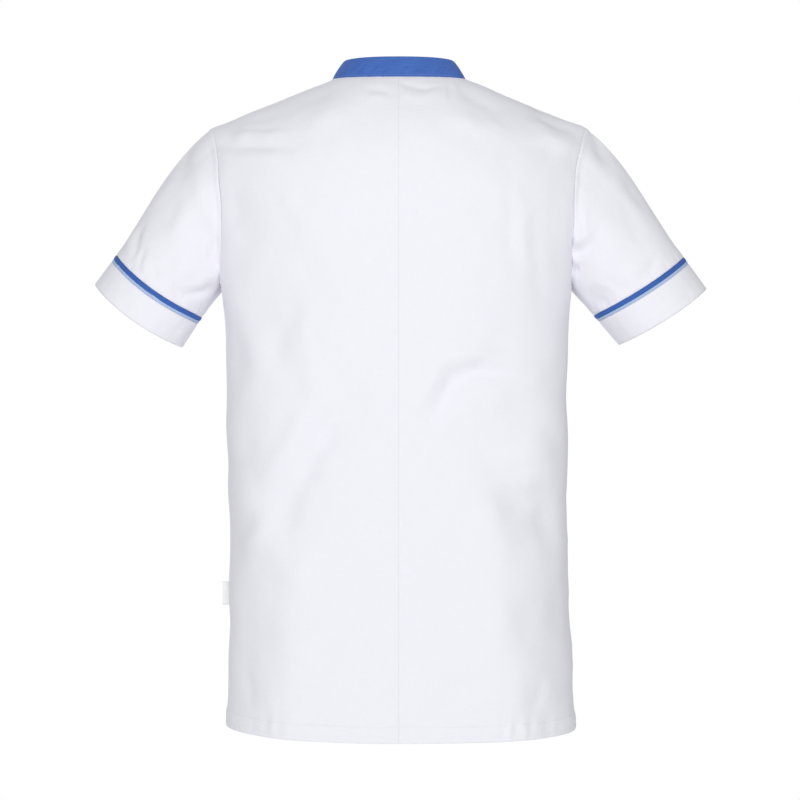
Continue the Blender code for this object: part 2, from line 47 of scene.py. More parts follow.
# camera: behind the garment, level with its middle
camera = {"place": (-0.0012, 2.6, -0.383), "turn": (90, 0, 180), "lens": 97.5, "sensor": 36}


def addObject(name, data):
    obj = bpy.data.objects.new(name, data)
    bpy.context.scene.collection.objects.link(obj)
    return obj


def addCamera():
    data = bpy.data.cameras.new("photoCamera")
    data.sensor_width = camera["sensor"]
    data.lens = camera["lens"]
    data.dof.use_dof = False
    obj = addObject("photoCamera", data)
    obj.location = camera["place"]
    obj.rotation_euler = [math.radians(a) for a in camera["turn"]]
    bpy.context.scene.camera = obj


addCamera()


def linear(hexColour):
    # sRGB hex to the linear colour that the shader takes
    shares = [int(hexColour[i : i + 2], 16) / 255 for i in (1, 3, 5)]
    return [s / 12.92 if s <= 0.04045 else ((s + 0.055) / 1.055) ** 2.4 for s in shares] + [1.0]


def addNode(tree, kind, settings=(), links=()):
    # one node with its settings and links; whole-number keys are sockets, other keys sockets or fields
    node = tree.nodes.new("ShaderNode" + kind)
    for key, value in dict(settings).items():
        if isinstance(key, int) or key in node.inputs:
            node.inputs[key].default_value = value
        else:
            setattr(node, key, value)
    for key, source in dict(links).items():
        tree.links.new(source, node.inputs[key])
    return node


# colours of the thread tops and of the painted shade in the gaps between them, thread pitch as drawn and height of the
# weave (mm), height and size of the crumple that pressing leaves (mm)
cloths = {
    # plain-weave polycotton, bleached, then pressed: matt and even, a hint of blue from the brightener.
    # The real thread pitch is about 0.35 mm, too fine for the picture, so it is drawn coarser.
    "bleachedPolycotton": {"colour": "#F6F5FB", "gap": "#F3F2F9", "pitch": 1.1, "weave": 0.03,
                           "crumple": 0.30, "crumpleSize": 34, "roughness": 0.82, "sheen": 0.04},
    # the same cloth dyed mid blue: the weave shows as paler thread tops against painted shade in the gaps
    "blueDyedPolycotton": {"colour": "#507ACA", "gap": "#3F63B2", "pitch": 1.5, "weave": 0.16,
                           "crumple": 0.16, "crumpleSize": 20, "roughness": 0.80, "sheen": 0.05},
    # finer cotton, folded into strips and pressed hard: close and nearly plain
    "darkBlueStripCotton": {"colour": "#426EBE", "gap": "#365EAC", "pitch": 1.2, "weave": 0.08,
                            "crumple": 0.06, "crumpleSize": 14, "roughness": 0.80, "sheen": 0.04},
    "lightBlueStripCotton": {"colour": "#B9CEF0", "gap": "#A9C0E8", "pitch": 1.2, "weave": 0.08,
                             "crumple": 0.06, "crumpleSize": 14, "roughness": 0.80, "sheen": 0.04},
    # damask-woven polyester tape: denser and a little smoother than the cloth
    "wovenLabelTape": {"colour": "#FFFFFF", "gap": "#F8F8FB", "pitch": 1.0, "weave": 0.06,
                       "crumple": 0.03, "crumpleSize": 6, "roughness": 0.6, "sheen": 0.02},
}

# what the cloths share: threads to a streak, spread of the crumple's noise, and the noise sums at which the gap's
# painted shade and the thread top's colour are full
weave = {"streak": 14, "crumpleSpread": 4, "gapShadeAt": 0.6, "topAt": 1.4, "sheenRoughness": 0.5, "specular": 0.25}


def newMaterial(name, roughness):
    material = bpy.data.materials.new(name)
    material.use_nodes = True
    shader = material.node_tree.nodes["Principled BSDF"]
    shader.inputs["Roughness"].default_value = roughness
    return material, material.node_tree, shader


def makeClothMaterial(name):
    cloth = cloths[name]
    material, tree, shader = newMaterial(name, cloth["roughness"])
    shader.inputs["Sheen Weight"].default_value = cloth["sheen"]
    shader.inputs["Sheen Roughness"].default_value = weave["sheenRoughness"]
    shader.inputs["Specular IOR Level"].default_value = weave["specular"]
    weaveMap = addNode(tree, "UVMap", {"uv_map": "clothWeave"})
    # warp and weft: long narrow streaks in each thread direction, because spun threads vary in thickness
    threadsPerMetre = 1 / (cloth["pitch"] * mm)
    streaksPerMetre = threadsPerMetre / weave["streak"]
    streaks = []
    for scale in ((threadsPerMetre, streaksPerMetre, 1), (streaksPerMetre, threadsPerMetre, 1)):
        spread = addNode(tree, "Mapping", {"Scale": scale}, {"Vector": weaveMap.outputs["UV"]})
        noise = addNode(tree, "TexNoise", {"Scale": 1.0, "Detail": 2.0}, {"Vector": spread.outputs["Vector"]})
        streaks.append(noise.outputs["Fac"])
    height = addNode(tree, "Math", {"operation": "ADD"}, {0: streaks[0], 1: streaks[1]})
    place = addNode(tree, "TexCoord")
    crumple = addNode(
        tree, "TexNoise", {"Scale": 1000 / cloth["crumpleSize"], "Detail": 3.0, "Roughness": 0.45},
        {"Vector": place.outputs["Object"]},
    )
    soft = addNode(
        tree, "Bump", {"Distance": cloth["crumple"] * mm * weave["crumpleSpread"], "Strength": 1.0},
        {"Height": crumple.outputs["Fac"]},
    )
    fine = addNode(
        tree, "Bump", {"Distance": cloth["weave"] * mm, "Strength": 1.0},
        {"Height": height.outputs[0], "Normal": soft.outputs["Normal"]},
    )
    # painted shade: where the weave is low, between the threads, the colour darkens to the gap's
    share = addNode(
        tree, "MapRange", {"From Min": weave["gapShadeAt"], "From Max": weave["topAt"], "To Min": 0.0, "To Max": 1.0},
        {"Value": height.outputs[0]},
    )
    weaveShadeMix = addNode(
        tree, "Mix", {"data_type": "RGBA", 6: linear(cloth["gap"]), 7: linear(cloth["colour"])},
        {0: share.outputs["Result"]},
    )
    tree.links.new(weaveShadeMix.outputs[2], shader.inputs["Base Color"])
    tree.links.new(fine.outputs["Normal"], shader.inputs["Normal"])
    return material


# spun polyester sewing thread: a tight twist that catches a little more light than the cloth
threads = {"whiteSewingThread": "#FBFAFF", "blueSewingThread": "#8DABE4"}
twisted = {"roughness": 0.55, "scale": 2500.0, "hollow": 0.86}     # painted shade: the twist's hollows are painted this much darker


def makeThreadMaterial(name):
    material, tree, shader = newMaterial(name, twisted["roughness"])
    light = linear(threads[name])
    dark = [c * twisted["hollow"] for c in light[:3]] + [1.0]
    place = addNode(tree, "TexCoord")
    noise = {"Scale": twisted["scale"], "Detail": 1.0}
    twist = addNode(tree, "TexNoise", noise, {"Vector": place.outputs["Object"]})
    # painted shade: noise darkens the thread where the twist's hollows would lie
    tone = addNode(tree, "Mix", {"data_type": "RGBA", 6: dark, 7: light}, {0: twist.outputs["Fac"]})
    tree.links.new(tone.outputs[2], shader.inputs["Base Color"])
    return material


materials = {name: makeClothMaterial(name) for name in cloths}
materials.update({name: makeThreadMaterial(name) for name in threads})
print("materials made:", len(materials))

# the torso's form, the same as that of the frame's cut pieces (metres)
torso = {
    "neckHalfWidth": 0.081, "neckBackDrop": 0.003, "neckFrontDrop": 0.080,
    "shoulderHalfWidth": 0.224, "shoulderSlope": 0.4035,
    "notchHalfWidth": 0.026, "notchBottom": -0.205, "notchPull": 3,
    "underarm": -0.2445,
    "hemSide": {"left": -0.769, "right": -0.774},
    "hemCentre": {"back": -0.7755, "front": -0.7720},
    "armholeScoop": {"back": 0.0056, "front": 0.016}, "scoopFlatness": 0.7, "armholeSpread": 3,
    "squareness": {"back": 2.55, "front": 2.4},
    "capHeight": {"back": 0.140, "front": 0.230},
    "capRoundness": {"back": 2.0, "front": 1.6},
    # height, half width to the left and right, depth to the back and front
    "levels": [
        (-0.790, 0.2068, 0.2122, 0.1270, 0.1260), (-0.700, 0.2042, 0.2103, 0.1255, 0.1250),
        (-0.640, 0.2030, 0.2080, 0.1235, 0.1240), (-0.570, 0.2030, 0.2045, 0.1205, 0.1225),
        (-0.500, 0.2045, 0.2030, 0.1190, 0.1215), (-0.420, 0.2060, 0.2010, 0.1190, 0.1225),
        (-0.340, 0.2075, 0.2010, 0.1215, 0.1250), (-0.270, 0.2090, 0.2040, 0.1245, 0.1270),
        (-0.2445, 0.2100, 0.2060, 0.1250, 0.1270), (-0.208, 0.2135, 0.2095, 0.1250, 0.1260),
        (-0.178, 0.2180, 0.2140, 0.1245, 0.1245), (-0.148, 0.2240, 0.2200, 0.1240, 0.1225),
        (-0.114, 0.2310, 0.2270, 0.1225, 0.1200), (-0.058, 0.2430, 0.2410, 0.1190, 0.1140),
        (0.020, 0.2580, 0.2580, 0.1140, 0.1060),
    ],
}
levelColumn = {"left": 1, "right": 2, "back": 3, "front": 4}

# how fine the cloth's mesh is: steps in the frame's own grid units, and closer rows beside seams and in the hem (mm)
clothGrid = {
    "neckColumns": 6, "shoulderColumns": 9, "stepsPerColumn": 6, "columnWidth": 19.3,
    "besideSeam": (0.4, 1.0, 1.9, 3.0), "clearOfSeam": 1.4,
    "hemRises": (0, 0.5, 1.2, 2.4, 4.2, 5.4, 6.6, 8.5, 11, 13.5, 16, 17.8, 18.7, 19.3, 20.0, 20.7, 21.6, 23.2, 25.6),
    "rowStep": 4.6, "highRows": 78, "highLength": 190, "notchAt": 2 / 12, "sleeveRows": 44,
    "edgeSamples": 800, "columnSamples": 500,
    "thickness": 2.2, "singleShare": 0.6, "doubledUpTo": 0.0195,      # the hem's turn-up is twice the cloth
}


def unit(vectors):
    return vectors / np.maximum(np.linalg.norm(vectors, axis=-1, keepdims=True), 1e-12)


def eased(share):
    share = np.clip(share, 0, 1)
    return 3 * share**2 - 2 * share**3


def bell(distance, width):
    # 1 in the middle, fading smoothly to either side
    return np.exp(-((distance / width) ** 2))


def smoothRun(t, start, leaving, end, arriving):
    # from start to end, leaving and arriving in these directions
    return (
        (2 * t**3 - 3 * t**2 + 1) * start + (t**3 - 2 * t**2 + t) * leaving
        + (3 * t**2 - 2 * t**3) * end + (t**3 - t**2) * arriving
    )


def levelValue(column, height):
    # one column of the torso table at any height, on a smooth curve through its values
    heights = np.array([level[0] for level in torso["levels"]])
    values = np.array([level[levelColumn[column]] for level in torso["levels"]])
    height = np.asarray(height, float)
    slopes = np.gradient(values, heights)
    low = np.clip(np.searchsorted(heights, height, side="right") - 1, 0, len(heights) - 2)
    span = heights[low + 1] - heights[low]
    t = np.clip((height - heights[low]) / span, 0, 1)
    return smoothRun(t, values[low], span * slopes[low], values[low + 1], span * slopes[low + 1])


def shoulderLine(x):
    neck, slope = torso["neckHalfWidth"], torso["shoulderSlope"]
    return np.where(x < neck, slope * neck / 2 * (1 - (x / neck) ** 2), slope * (neck - x))


def torsoPoints(face, side, x, z):
    power, cap = torso["squareness"][face], torso["capRoundness"][face]
    across = np.clip(1 - np.clip(x / levelValue(side, z), 0, 1) ** power, 0, 1) ** (1 / power)
    below = np.clip((shoulderLine(x) - z) / torso["capHeight"][face], 0, 1)
    over = np.clip(1 - (1 - below) ** cap, 0, 1) ** (1 / cap)
    return np.stack([sideSign[side] * x, faceSign[face] * levelValue(face, z) * across * over, z], axis=-1)


def torsoNormals(face, side, points):
    # the slopes are taken just inside the outline, where they are finite
    x, z = np.abs(points[..., 0]), points[..., 2]
    x = np.minimum(x, levelValue(side, z) - 1e-4)
    z = np.minimum(z, shoulderLine(x) - 1e-5)
    step = 1e-6
    across = torsoPoints(face, side, x + step, z) - torsoPoints(face, side, x - step, z)
    up = torsoPoints(face, side, x, z + step) - torsoPoints(face, side, x, z - step)
    normals = unit(np.cross(across, up))
    return normals * np.sign(normals[..., 1:2] * faceSign[face])


def lengthAlong(points):
    return np.concatenate([[0.0], np.cumsum(np.linalg.norm(np.diff(points, axis=0), axis=1))])


def pick(points, along, at):
    # places on a line at these distances along it
    return np.stack([np.interp(at, along, points[:, k]) for k in range(points.shape[-1])], axis=-1)


def alongLine(points, shares):
    # points at these shares of a line's length
    along = lengthAlong(points)
    return pick(points, along, np.asarray(shares) * along[-1])


def columnPlaces():
    # where the columns lie, in the frame's column units from the middle out
    last = clothGrid["neckColumns"] + clothGrid["shoulderColumns"]
    even = np.linspace(0, last, last * clothGrid["stepsPerColumn"] + 1)
    close = np.array(clothGrid["besideSeam"]) / clothGrid["columnWidth"]
    clear = close[-1] * clothGrid["clearOfSeam"]
    even = even[(even == 0) | (even == last) | ((even > clear) & (even < last - clear))]
    return np.unique(np.concatenate([even, close, last - close]))


def lowShares():
    # rows below the underarm, closer in the hem, as shares of the height
    length = torso["underarm"] - torso["hemCentre"]["back"]
    rises = np.array(clothGrid["hemRises"]) * mm
    count = round((length - rises[-1]) / (clothGrid["rowStep"] * mm))
    return np.concatenate([rises[:-1], np.linspace(rises[-1], length, count + 1)]) / length


def highShares():
    even = np.linspace(0, 1, clothGrid["highRows"] + 1)
    close = np.array(clothGrid["besideSeam"]) / clothGrid["highLength"]
    even = even[(even == 1) | (even < 1 - close[-1] * clothGrid["clearOfSeam"])]
    return np.unique(np.concatenate([even, 1 - close]))


def necklineHeight(face, x):
    share = np.clip(x / torso["neckHalfWidth"], 0, 1)
    if face == "back":
        return -torso["neckBackDrop"] * (1 - share**2)
    return -torso["neckFrontDrop"] * np.sqrt(1 - share**2)


def topEdge(face, side, places):
    neck, neckColumns = torso["neckHalfWidth"], clothGrid["neckColumns"]
    start = 0.0 if face == "back" else torso["notchHalfWidth"]
    x = neck * np.sin(np.linspace(math.asin(start / neck), math.pi / 2, clothGrid["edgeSamples"]))
    inNeck = places <= neckColumns
    neckPoints = torsoPoints(face, side, x, necklineHeight(face, x))
    neckPoints = alongLine(neckPoints, places[inNeck] / neckColumns)
    share = (places[~inNeck] - neckColumns) / clothGrid["shoulderColumns"]
    x = neck + (torso["shoulderHalfWidth"] - neck) * share
    return np.concatenate([neckPoints, torsoPoints(face, side, x, shoulderLine(x))])


def lowRow(face, side, share, places):
    under, last = torso["underarm"], places[-1]
    sideHeight = torso["hemSide"][side] + (under - torso["hemSide"][side]) * share
    middle = torso["hemCentre"][face] + (under - torso["hemCentre"][face]) * share
    reach = levelValue(side, sideHeight)
    x = reach * np.sin(np.linspace(0, math.pi / 2, clothGrid["edgeSamples"]))
    points = torsoPoints(face, side, x, middle + (sideHeight - middle) * (x / reach) ** 2)
    points[-1, 1] = 0.0
    return alongLine(points, places / last)


def highColumn(face, side, out, foot, head, shares):
    dense = np.sin(np.linspace(0, math.pi / 2, clothGrid["columnSamples"]))
    z = foot[2] + (head[2] - foot[2]) * dense
    straight = abs(foot[0]) + (abs(head[0]) - abs(foot[0])) * dense
    under, tip = levelValue(side, torso["underarm"]), torso["shoulderHalfWidth"]
    scoop = torso["armholeScoop"][face] * np.clip(4 * dense * (1 - dense), 0, 1) ** torso["scoopFlatness"]
    edgeBow = (tip - under) * (dense ** torso["armholeSpread"] - dense) - scoop
    x = straight + edgeBow * out**2
    neckOut = clothGrid["neckColumns"] / (clothGrid["neckColumns"] + clothGrid["shoulderColumns"])
    if face == "front" and out < neckOut:
        opened = np.clip((z - torso["notchBottom"]) / (head[2] - torso["notchBottom"]), 0, 1)
        x = x + torso["notchHalfWidth"] * (opened - dense) * (1 - out) ** torso["notchPull"]
        # rows gather so that one of them ends at the foot of the notch
        steps = np.hypot(np.diff(x), np.diff(z))
        notch = np.interp(torso["notchBottom"], z, np.concatenate([[0], np.cumsum(steps)]))
        near = (1 - out / neckOut) ** 2
        moved = np.interp(shares, [0, notchShare(shares), 1], [0, notch / steps.sum(), 1])
        shares = shares * (1 - near) + moved * near
    return alongLine(torsoPoints(face, side, x, z), shares)


def notchShare(shares):
    # the row of the upper front that ends at the foot of the notch
    return shares[np.argmin(np.abs(shares - clothGrid["notchAt"]))]


def bodyQuarter(face, side):
    places, lows, highs = columnPlaces(), lowShares(), highShares()
    low = np.array([lowRow(face, side, share, places) for share in lows])
    top = topEdge(face, side, places)
    outs = places / places[-1]
    columns = [highColumn(face, side, outs[i], low[-1, i], top[i], highs) for i in range(len(places))]
    high = np.stack(columns, axis=1)
    high[0], high[-1] = low[-1], top
    if face == "front":
        notchRow = int(np.argmin(np.abs(highs - notchShare(highs))))
        high[: notchRow + 1, 0, 0] = 0.0
    return np.concatenate([low[:-1], high]), len(low) - 1


# folds and creases (mm): width, height, then the places that each runs through, across and up
largeFolds = {
    "back": [
        (32, -3.0, (185, -170), (115, -240)), (26, -3.5, (150, -265), (195, -340)),
        (26, -4.5, (60, -395), (165, -520)), (28, 4.5, (170, -505), (120, -575)),
        (20, -3.0, (210, -470), (195, -560)), (20, -3.5, (-35, -400), (-120, -330)),
        (28, -4.5, (-90, -410), (-165, -530)), (24, 3.5, (-155, -455), (-185, -590)),
        (30, 4.0, (120, -600), (135, -800)), (28, 3.5, (-115, -620), (-140, -800)),
    ],
    "front": [
        (30, -4.0, (120, -190), (60, -330)), (28, -3.5, (-125, -200), (-70, -320)),
        (34, 4.5, (130, -400), (150, -560)), (32, 4.0, (-110, -430), (-150, -590)),
        (36, -4.5, (20, -420), (-10, -800)), (30, -3.5, (105, -600), (110, -800)),
        (30, -3.0, (-95, -600), (-105, -800)),
    ],
}
sleeveFolds = {
    "back": [
        (13, -4.0, (228, -246), (272, -262)), (15, -3.5, (232, -185), (236, -215)),
        (13, -3.0, (322, -172), (330, -210)), (14, -3.5, (-226, -190), (-222, -222)),
        (13, -4.0, (-226, -246), (-262, -262)),
    ],
    "front": [
        (16, -3.5, (230, -215), (285, -240)), (16, -3.5, (-230, -205), (-280, -235)),
    ],
}
bodyCreases = {
    "back": [
        # shoulder to the wearer's left: drags from the shoulder tip towards the neck
        (7, -1.8, (224, -50), (190, -56), (156, -52), (128, -44)),
        (11, -2.0, (150, -46), (108, -32), (60, -14)),
        (8, 2.4, (222, -68), (186, -74), (150, -76), (112, -66)), (13, 2.4, (122, -76), (84, -56), (44, -38)),
        (4, -1.3, (216, -60), (186, -65), (152, -68), (120, -64)),
        (4.5, -2.2, (220, -80), (186, -86), (150, -90), (112, -88)),
        (7, 1.6, (216, -94), (170, -102), (120, -102)), (12, -1.4, (204, -120), (194, -160), (186, -190)),
        (14, 2.0, (198, -66), (168, -62)),
        # the cloth stays flat up to the armholes
        (15, 5.4, (210, -64), (205, -160), (202, -240), (188, -310)),
        (15, 4.0, (-208, -64), (-203, -160), (-198, -240), (-186, -310)),
        (6, -3.8, (-214, -150), (-207, -200), (-206, -262)),
        # under the collar
        (3, -1.8, (8, -10), (-10, -16), (-32, -20), (-56, -14)), (6, 1.6, (8, -24), (-20, -31), (-56, -26)),
        (3, -1.6, (-58, -8), (-60, -34)), (4, 1.0, (-66, -8), (-68, -34)),
        (4, -1.4, (44, -18), (24, -25), (0, -28)), (5, 1.2, (40, -30), (10, -36)),
        # shoulder to the right: a dent near the tip, and a broad hollow from the collar's end
        (10, -5.6, (-146, -38), (-182, -52), (-216, -66)), (11, 4.2, (-146, -76), (-184, -81), (-220, -86)),
        (10, -2.6, (-48, -10), (-76, -24), (-112, -42), (-134, -46)),
        (13, 3.0, (-40, -44), (-78, -62), (-112, -76), (-140, -80)), (6, 1.2, (-100, -58), (-122, -66)),
        (9, -1.4, (-204, -84), (-206, -130)), (8, -1.3, (-126, -110), (-130, -250)),
        (7, 1.1, (-142, -140), (-146, -270)), (8, -1.2, (-158, -150), (-162, -290)),
        # between the blades and the waist
        (14, -2.2, (104, -240), (128, -300), (166, -366)), (10, -1.2, (156, -130), (112, -210)),
        (13, -1.4, (206, -262), (198, -320), (184, -398)), (13, 1.8, (184, -250), (172, -320), (156, -386)),
        (16, -2.4, (152, -256), (142, -320), (122, -388)), (11, 2.0, (114, -256), (106, -320), (94, -388)),
        (9, 3.0, (-176, -340), (-115, -333), (-72, -329), (-44, -342), (-31, -374), (-14, -426)),
        (9, -4.8, (-178, -358), (-115, -352), (-79, -349), (-61, -359), (-51, -382), (-38, -428)),
        (11, 1.6, (-80, -366), (-82, -400), (-84, -436)),
        (20, -3.4, (-112, -376), (-138, -400), (-150, -430)),
        (15, 4.8, (-78, -430), (-130, -442), (-190, -446)),
        (18, -6.2, (-84, -488), (-136, -500), (-190, -490)),
        # hips, left: drags from the waist down to the side
        (12, -3.4, (56, -370), (84, -420), (108, -468), (132, -520)),
        (12, 2.8, (82, -360), (116, -412), (142, -458), (164, -500)),
        (16, -3.8, (120, -470), (132, -526), (124, -590)), (13, 3.2, (152, -500), (168, -544), (172, -570)),
        (20, -3.8, (184, -404), (178, -450), (166, -512)), (16, -3.2, (186, -560), (178, -640), (186, -800)),
        (18, -1.8, (150, -560), (156, -800)),
        # hips, right
        (30, 6.0, (-70, -430), (-96, -500), (-112, -600), (-114, -760)),
        (28, -8.0, (-140, -440), (-168, -490), (-188, -560), (-196, -640), (-200, -820)),
        (22, -6.0, (-178, -462), (-184, -560)), (18, 2.6, (-112, -470), (-118, -560)),
        (18, -2.4, (-168, -500), (-184, -600)), (12, 1.6, (-140, -416), (-182, -440)),
        (6, -2.2, (4, -574), (-10, -578), (-20, -582)), (7, 1.5, (4, -588), (-20, -594)),
        # above the hem
        (13, -2.4, (-20, -724), (-72, -716), (-136, -690)), (10, 1.6, (-40, -742), (-130, -716)),
        (11, -1.6, (50, -660), (128, -706)), (8, -1.4, (76, -722), (160, -744)),
        (8, -1.6, (182, -690), (166, -750)), (8, -1.7, (-172, -696), (-150, -752)),
        (10, 1.3, (-146, -690), (-132, -745)), (9, 1.2, (150, -700), (144, -752)),
    ],
    "front": [
        # the picture hides this side, so it is creased in the same way
        (7, -2.6, (214, -54), (172, -62), (132, -66)), (9, 3.2, (214, -78), (166, -88), (112, -98)),
        (7, -2.6, (-214, -56), (-170, -64), (-128, -72)), (9, 3.0, (-210, -80), (-160, -92), (-110, -106)),
        (12, -3.4, (194, -130), (146, -204)), (12, -3.2, (-196, -128), (-142, -208)),
        (10, 2.4, (174, -118), (128, -190)), (10, 2.0, (-176, -116), (-126, -196)),
        (13, -3.2, (56, -310), (104, -386), (172, -440)), (12, 2.6, (84, -310), (140, -388)),
        (13, -3.2, (-50, -320), (-102, -398), (-168, -456)), (12, 2.2, (-80, -320), (-136, -396)),
        (14, -3.4, (112, -480), (180, -590)), (13, 2.6, (144, -470), (188, -530)),
        (14, -3.2, (-100, -500), (-174, -610)), (12, 2.2, (-134, -488), (-178, -540)),
        (8, -2.2, (22, -556), (-20, -570)), (12, -2.0, (30, -690), (122, -706)),
        (12, -1.8, (-36, -704), (-128, -688)), (18, -3.4, (180, -560), (184, -800)),
        (18, -3.2, (-178, -560), (-186, -800)), (5, -1.8, (24, -88), (58, -108)),
        (5, -1.8, (-26, -92), (-62, -110)), (6, 1.4, (20, -208), (50, -242)),
        (5, -1.4, (4, -212), (-24, -246)),
    ],
}
sleeveCreases = {
    "back": [
        # left sleeve
        (11, -4.8, (254, -62), (258, -94), (258, -130)), (9, 2.0, (236, -110), (232, -160)),
        (4.5, -2.8, (302, -166), (312, -196), (318, -224)), (4.5, 1.8, (312, -168), (322, -196), (326, -216)),
        (4, -2.2, (304, -196), (304, -232)), (4.5, -2.9, (204, -240), (230, -257), (266, -266)),
        (5.5, 2.4, (206, -230), (236, -248), (268, -254)), (8, -4.0, (222, -182), (217, -208), (211, -236)),
        (7, 1.8, (232, -186), (230, -230)), (3.5, -3.6, (209, -212), (206, -244)),
        (13, -2.0, (258, -130), (292, -200)), (9, 1.6, (244, -140), (268, -206)),
        (7, -1.8, (252, -214), (296, -236)), (3, 1.4, (302, -212), (296, -240)),
        (3, -1.6, (290, -218), (284, -246)), (3, 1.3, (272, -244), (268, -262)),
        (3, -1.4, (264, -246), (260, -266)),
        # right sleeve
        (12, -5.0, (-228, -50), (-240, -78), (-252, -110)), (9, -2.0, (-262, -110), (-296, -160)),
        (6, 2.4, (-214, -154), (-220, -190)), (9, 4.6, (-226, -168), (-220, -204), (-218, -244)),
        (5, 3.0, (-196, -196), (-206, -197), (-216, -192), (-226, -184)),
        (5, -4.2, (-196, -209), (-206, -209), (-217, -204), (-228, -196)),
        (4.5, 2.4, (-196, -220), (-205, -219), (-213, -215)),
        (4.5, -3.8, (-196, -231), (-205, -230), (-215, -226)),
        (6, -3.4, (-212, -250), (-238, -268), (-262, -276)), (6, 2.2, (-220, -240), (-266, -262)),
        (8, -1.9, (-234, -196), (-248, -240)), (11, -1.8, (-258, -140), (-290, -206)),
        (6, -1.8, (-280, -244), (-306, -222)), (6, 1.6, (-266, -240), (-294, -218)),
        (3, 1.3, (-312, -206), (-306, -226)), (3, -1.4, (-302, -212), (-296, -232)),
    ],
    "front": [
        (6, -3.6, (208, -222), (268, -266)), (6, -3.5, (-206, -224), (-264, -268)),
        (6, 2.4, (216, -206), (272, -248)), (6, 2.2, (-218, -208), (-268, -250)),
        (9, -2.8, (242, -140), (264, -216)), (9, -2.8, (-240, -146), (-264, -214)),
        (7, -2.2, (298, -170), (314, -224)), (7, -2.2, (-300, -180), (-320, -230)),
    ],
}
# how unevenly creases run: how far they wander (mm), the sizes of the waves that they wander in (mm), how much of
# their height is left at their ends, and the share of their length over which they fade
creaseLife = {"wander": 2.6, "waves": (31, 47, 83), "endShare": 0.12, "fadeShare": 0.42}


def wander(place):
    # the same places moved a little, so that a straight table entry becomes a crease with a life of its own
    x, z = place[..., 0], place[..., 1]
    waves = creaseLife["waves"]
    moveX = sum(np.sin(2 * math.pi * z / w + x / (1.9 * w) + k) for k, w in enumerate(waves)) / len(waves)
    moveZ = sum(np.sin(2 * math.pi * x / w - z / (2.3 * w) + 2 * k) for k, w in enumerate(waves)) / len(waves)
    return place + creaseLife["wander"] * np.stack([moveX, moveZ], axis=-1)


def creaseHeight(creases, face, points, soft=True):
    # how far the creases move each point out or in, in metres
    place = points[..., [0, 2]] / mm
    if soft:
        place = wander(place)
    total = np.zeros(points.shape[:-1])
    for width, height, *way in creases[face]:
        way = np.array(way, float)
        lengths = np.linalg.norm(np.diff(way, axis=0), axis=1)
        nearest, share, done = np.full(total.shape, 1e9), np.zeros(total.shape), 0.0
        for start, end, length in zip(way[:-1], way[1:], lengths):
            run = end - start
            along = np.clip(((place - start) @ run) / (run @ run), 0, 1)
            gap = np.linalg.norm(place - start - along[..., None] * run, axis=-1)
            share = np.where(gap < nearest, (done + along * length) / lengths.sum(), share)
            nearest, done = np.minimum(nearest, gap), done + length
        fade = 1.0
        if soft:
            left = creaseLife["endShare"]
            fade = left + (1 - left) * eased(np.minimum(share, 1 - share) / creaseLife["fadeShare"])
        total += height * fade * bell(nearest, width)
    return total * mm


# shallow swells that no single crease explains, a millimetre or so over a hand's width: direction, size and phase of
# each wave, and how far and over what length its line bends (mm)
swells = {
    "height": 0.22, "usualSize": 60, "faceShift": 9,
    "waves": [(0.9, 96, 0.35), (1.4, 71, 1.9), (-0.8, 58, 3.1), (2.6, 43, 4.6), (-1.9, 118, 0.8), (0.4, 39, 2.2)],
    "bendUp": (0.8, 67), "bendAcross": (0.6, 53),
}


def drift(face, points):
    x, z = points[..., 0] / mm + swells["faceShift"] * faceSign[face], points[..., 2] / mm
    (bendUp, lengthUp), (bendAcross, lengthAcross) = swells["bendUp"], swells["bendAcross"]
    heights = []
    for turn, size, phase in swells["waves"]:
        way = 2 * math.pi * (x * math.cos(turn) + z * math.sin(turn)) / size + phase
        way = way + bendUp * np.sin(z / lengthUp + phase) + bendAcross * np.sin(x / lengthAcross - phase)
        heights.append(size / swells["usualSize"] * np.sin(way))
    return swells["height"] * mm * sum(heights)


# the large folds fade near the armholes and below the shoulders (metres, and the least share)
foldFade = {"side": 0.222, "sideReach": 0.030, "sideLeast": 0.55, "top": -0.030, "topReach": 0.060}


def largeFade(points):
    inwards = (foldFade["side"] - np.abs(points[..., 0])) / foldFade["sideReach"]
    below = (foldFade["top"] - points[..., 2]) / foldFade["topReach"]
    return eased(below) * np.clip(inwards, foldFade["sideLeast"], 1)


def ripple(along, sizes, seed):
    # uneven waves along a seam, from -1 to 1, made of a few sines that never line up
    waves = sum(np.sin(2 * math.pi * along / (size * mm) + seed * (k + 1.7)) for k, size in enumerate(sizes))
    return waves / len(sizes)


def lineDistances(grid):
    # distance of each point along its row from the first column, and along its column from the first row
    across = np.linalg.norm(np.diff(grid, axis=1), axis=-1)
    up = np.linalg.norm(np.diff(grid, axis=0), axis=-1)
    fromFirst = np.concatenate([np.zeros((len(grid), 1)), np.cumsum(across, axis=1)], axis=1)
    fromBottom = np.concatenate([np.zeros((1, grid.shape[1])), np.cumsum(up, axis=0)], axis=0)
    return fromFirst, fromBottom


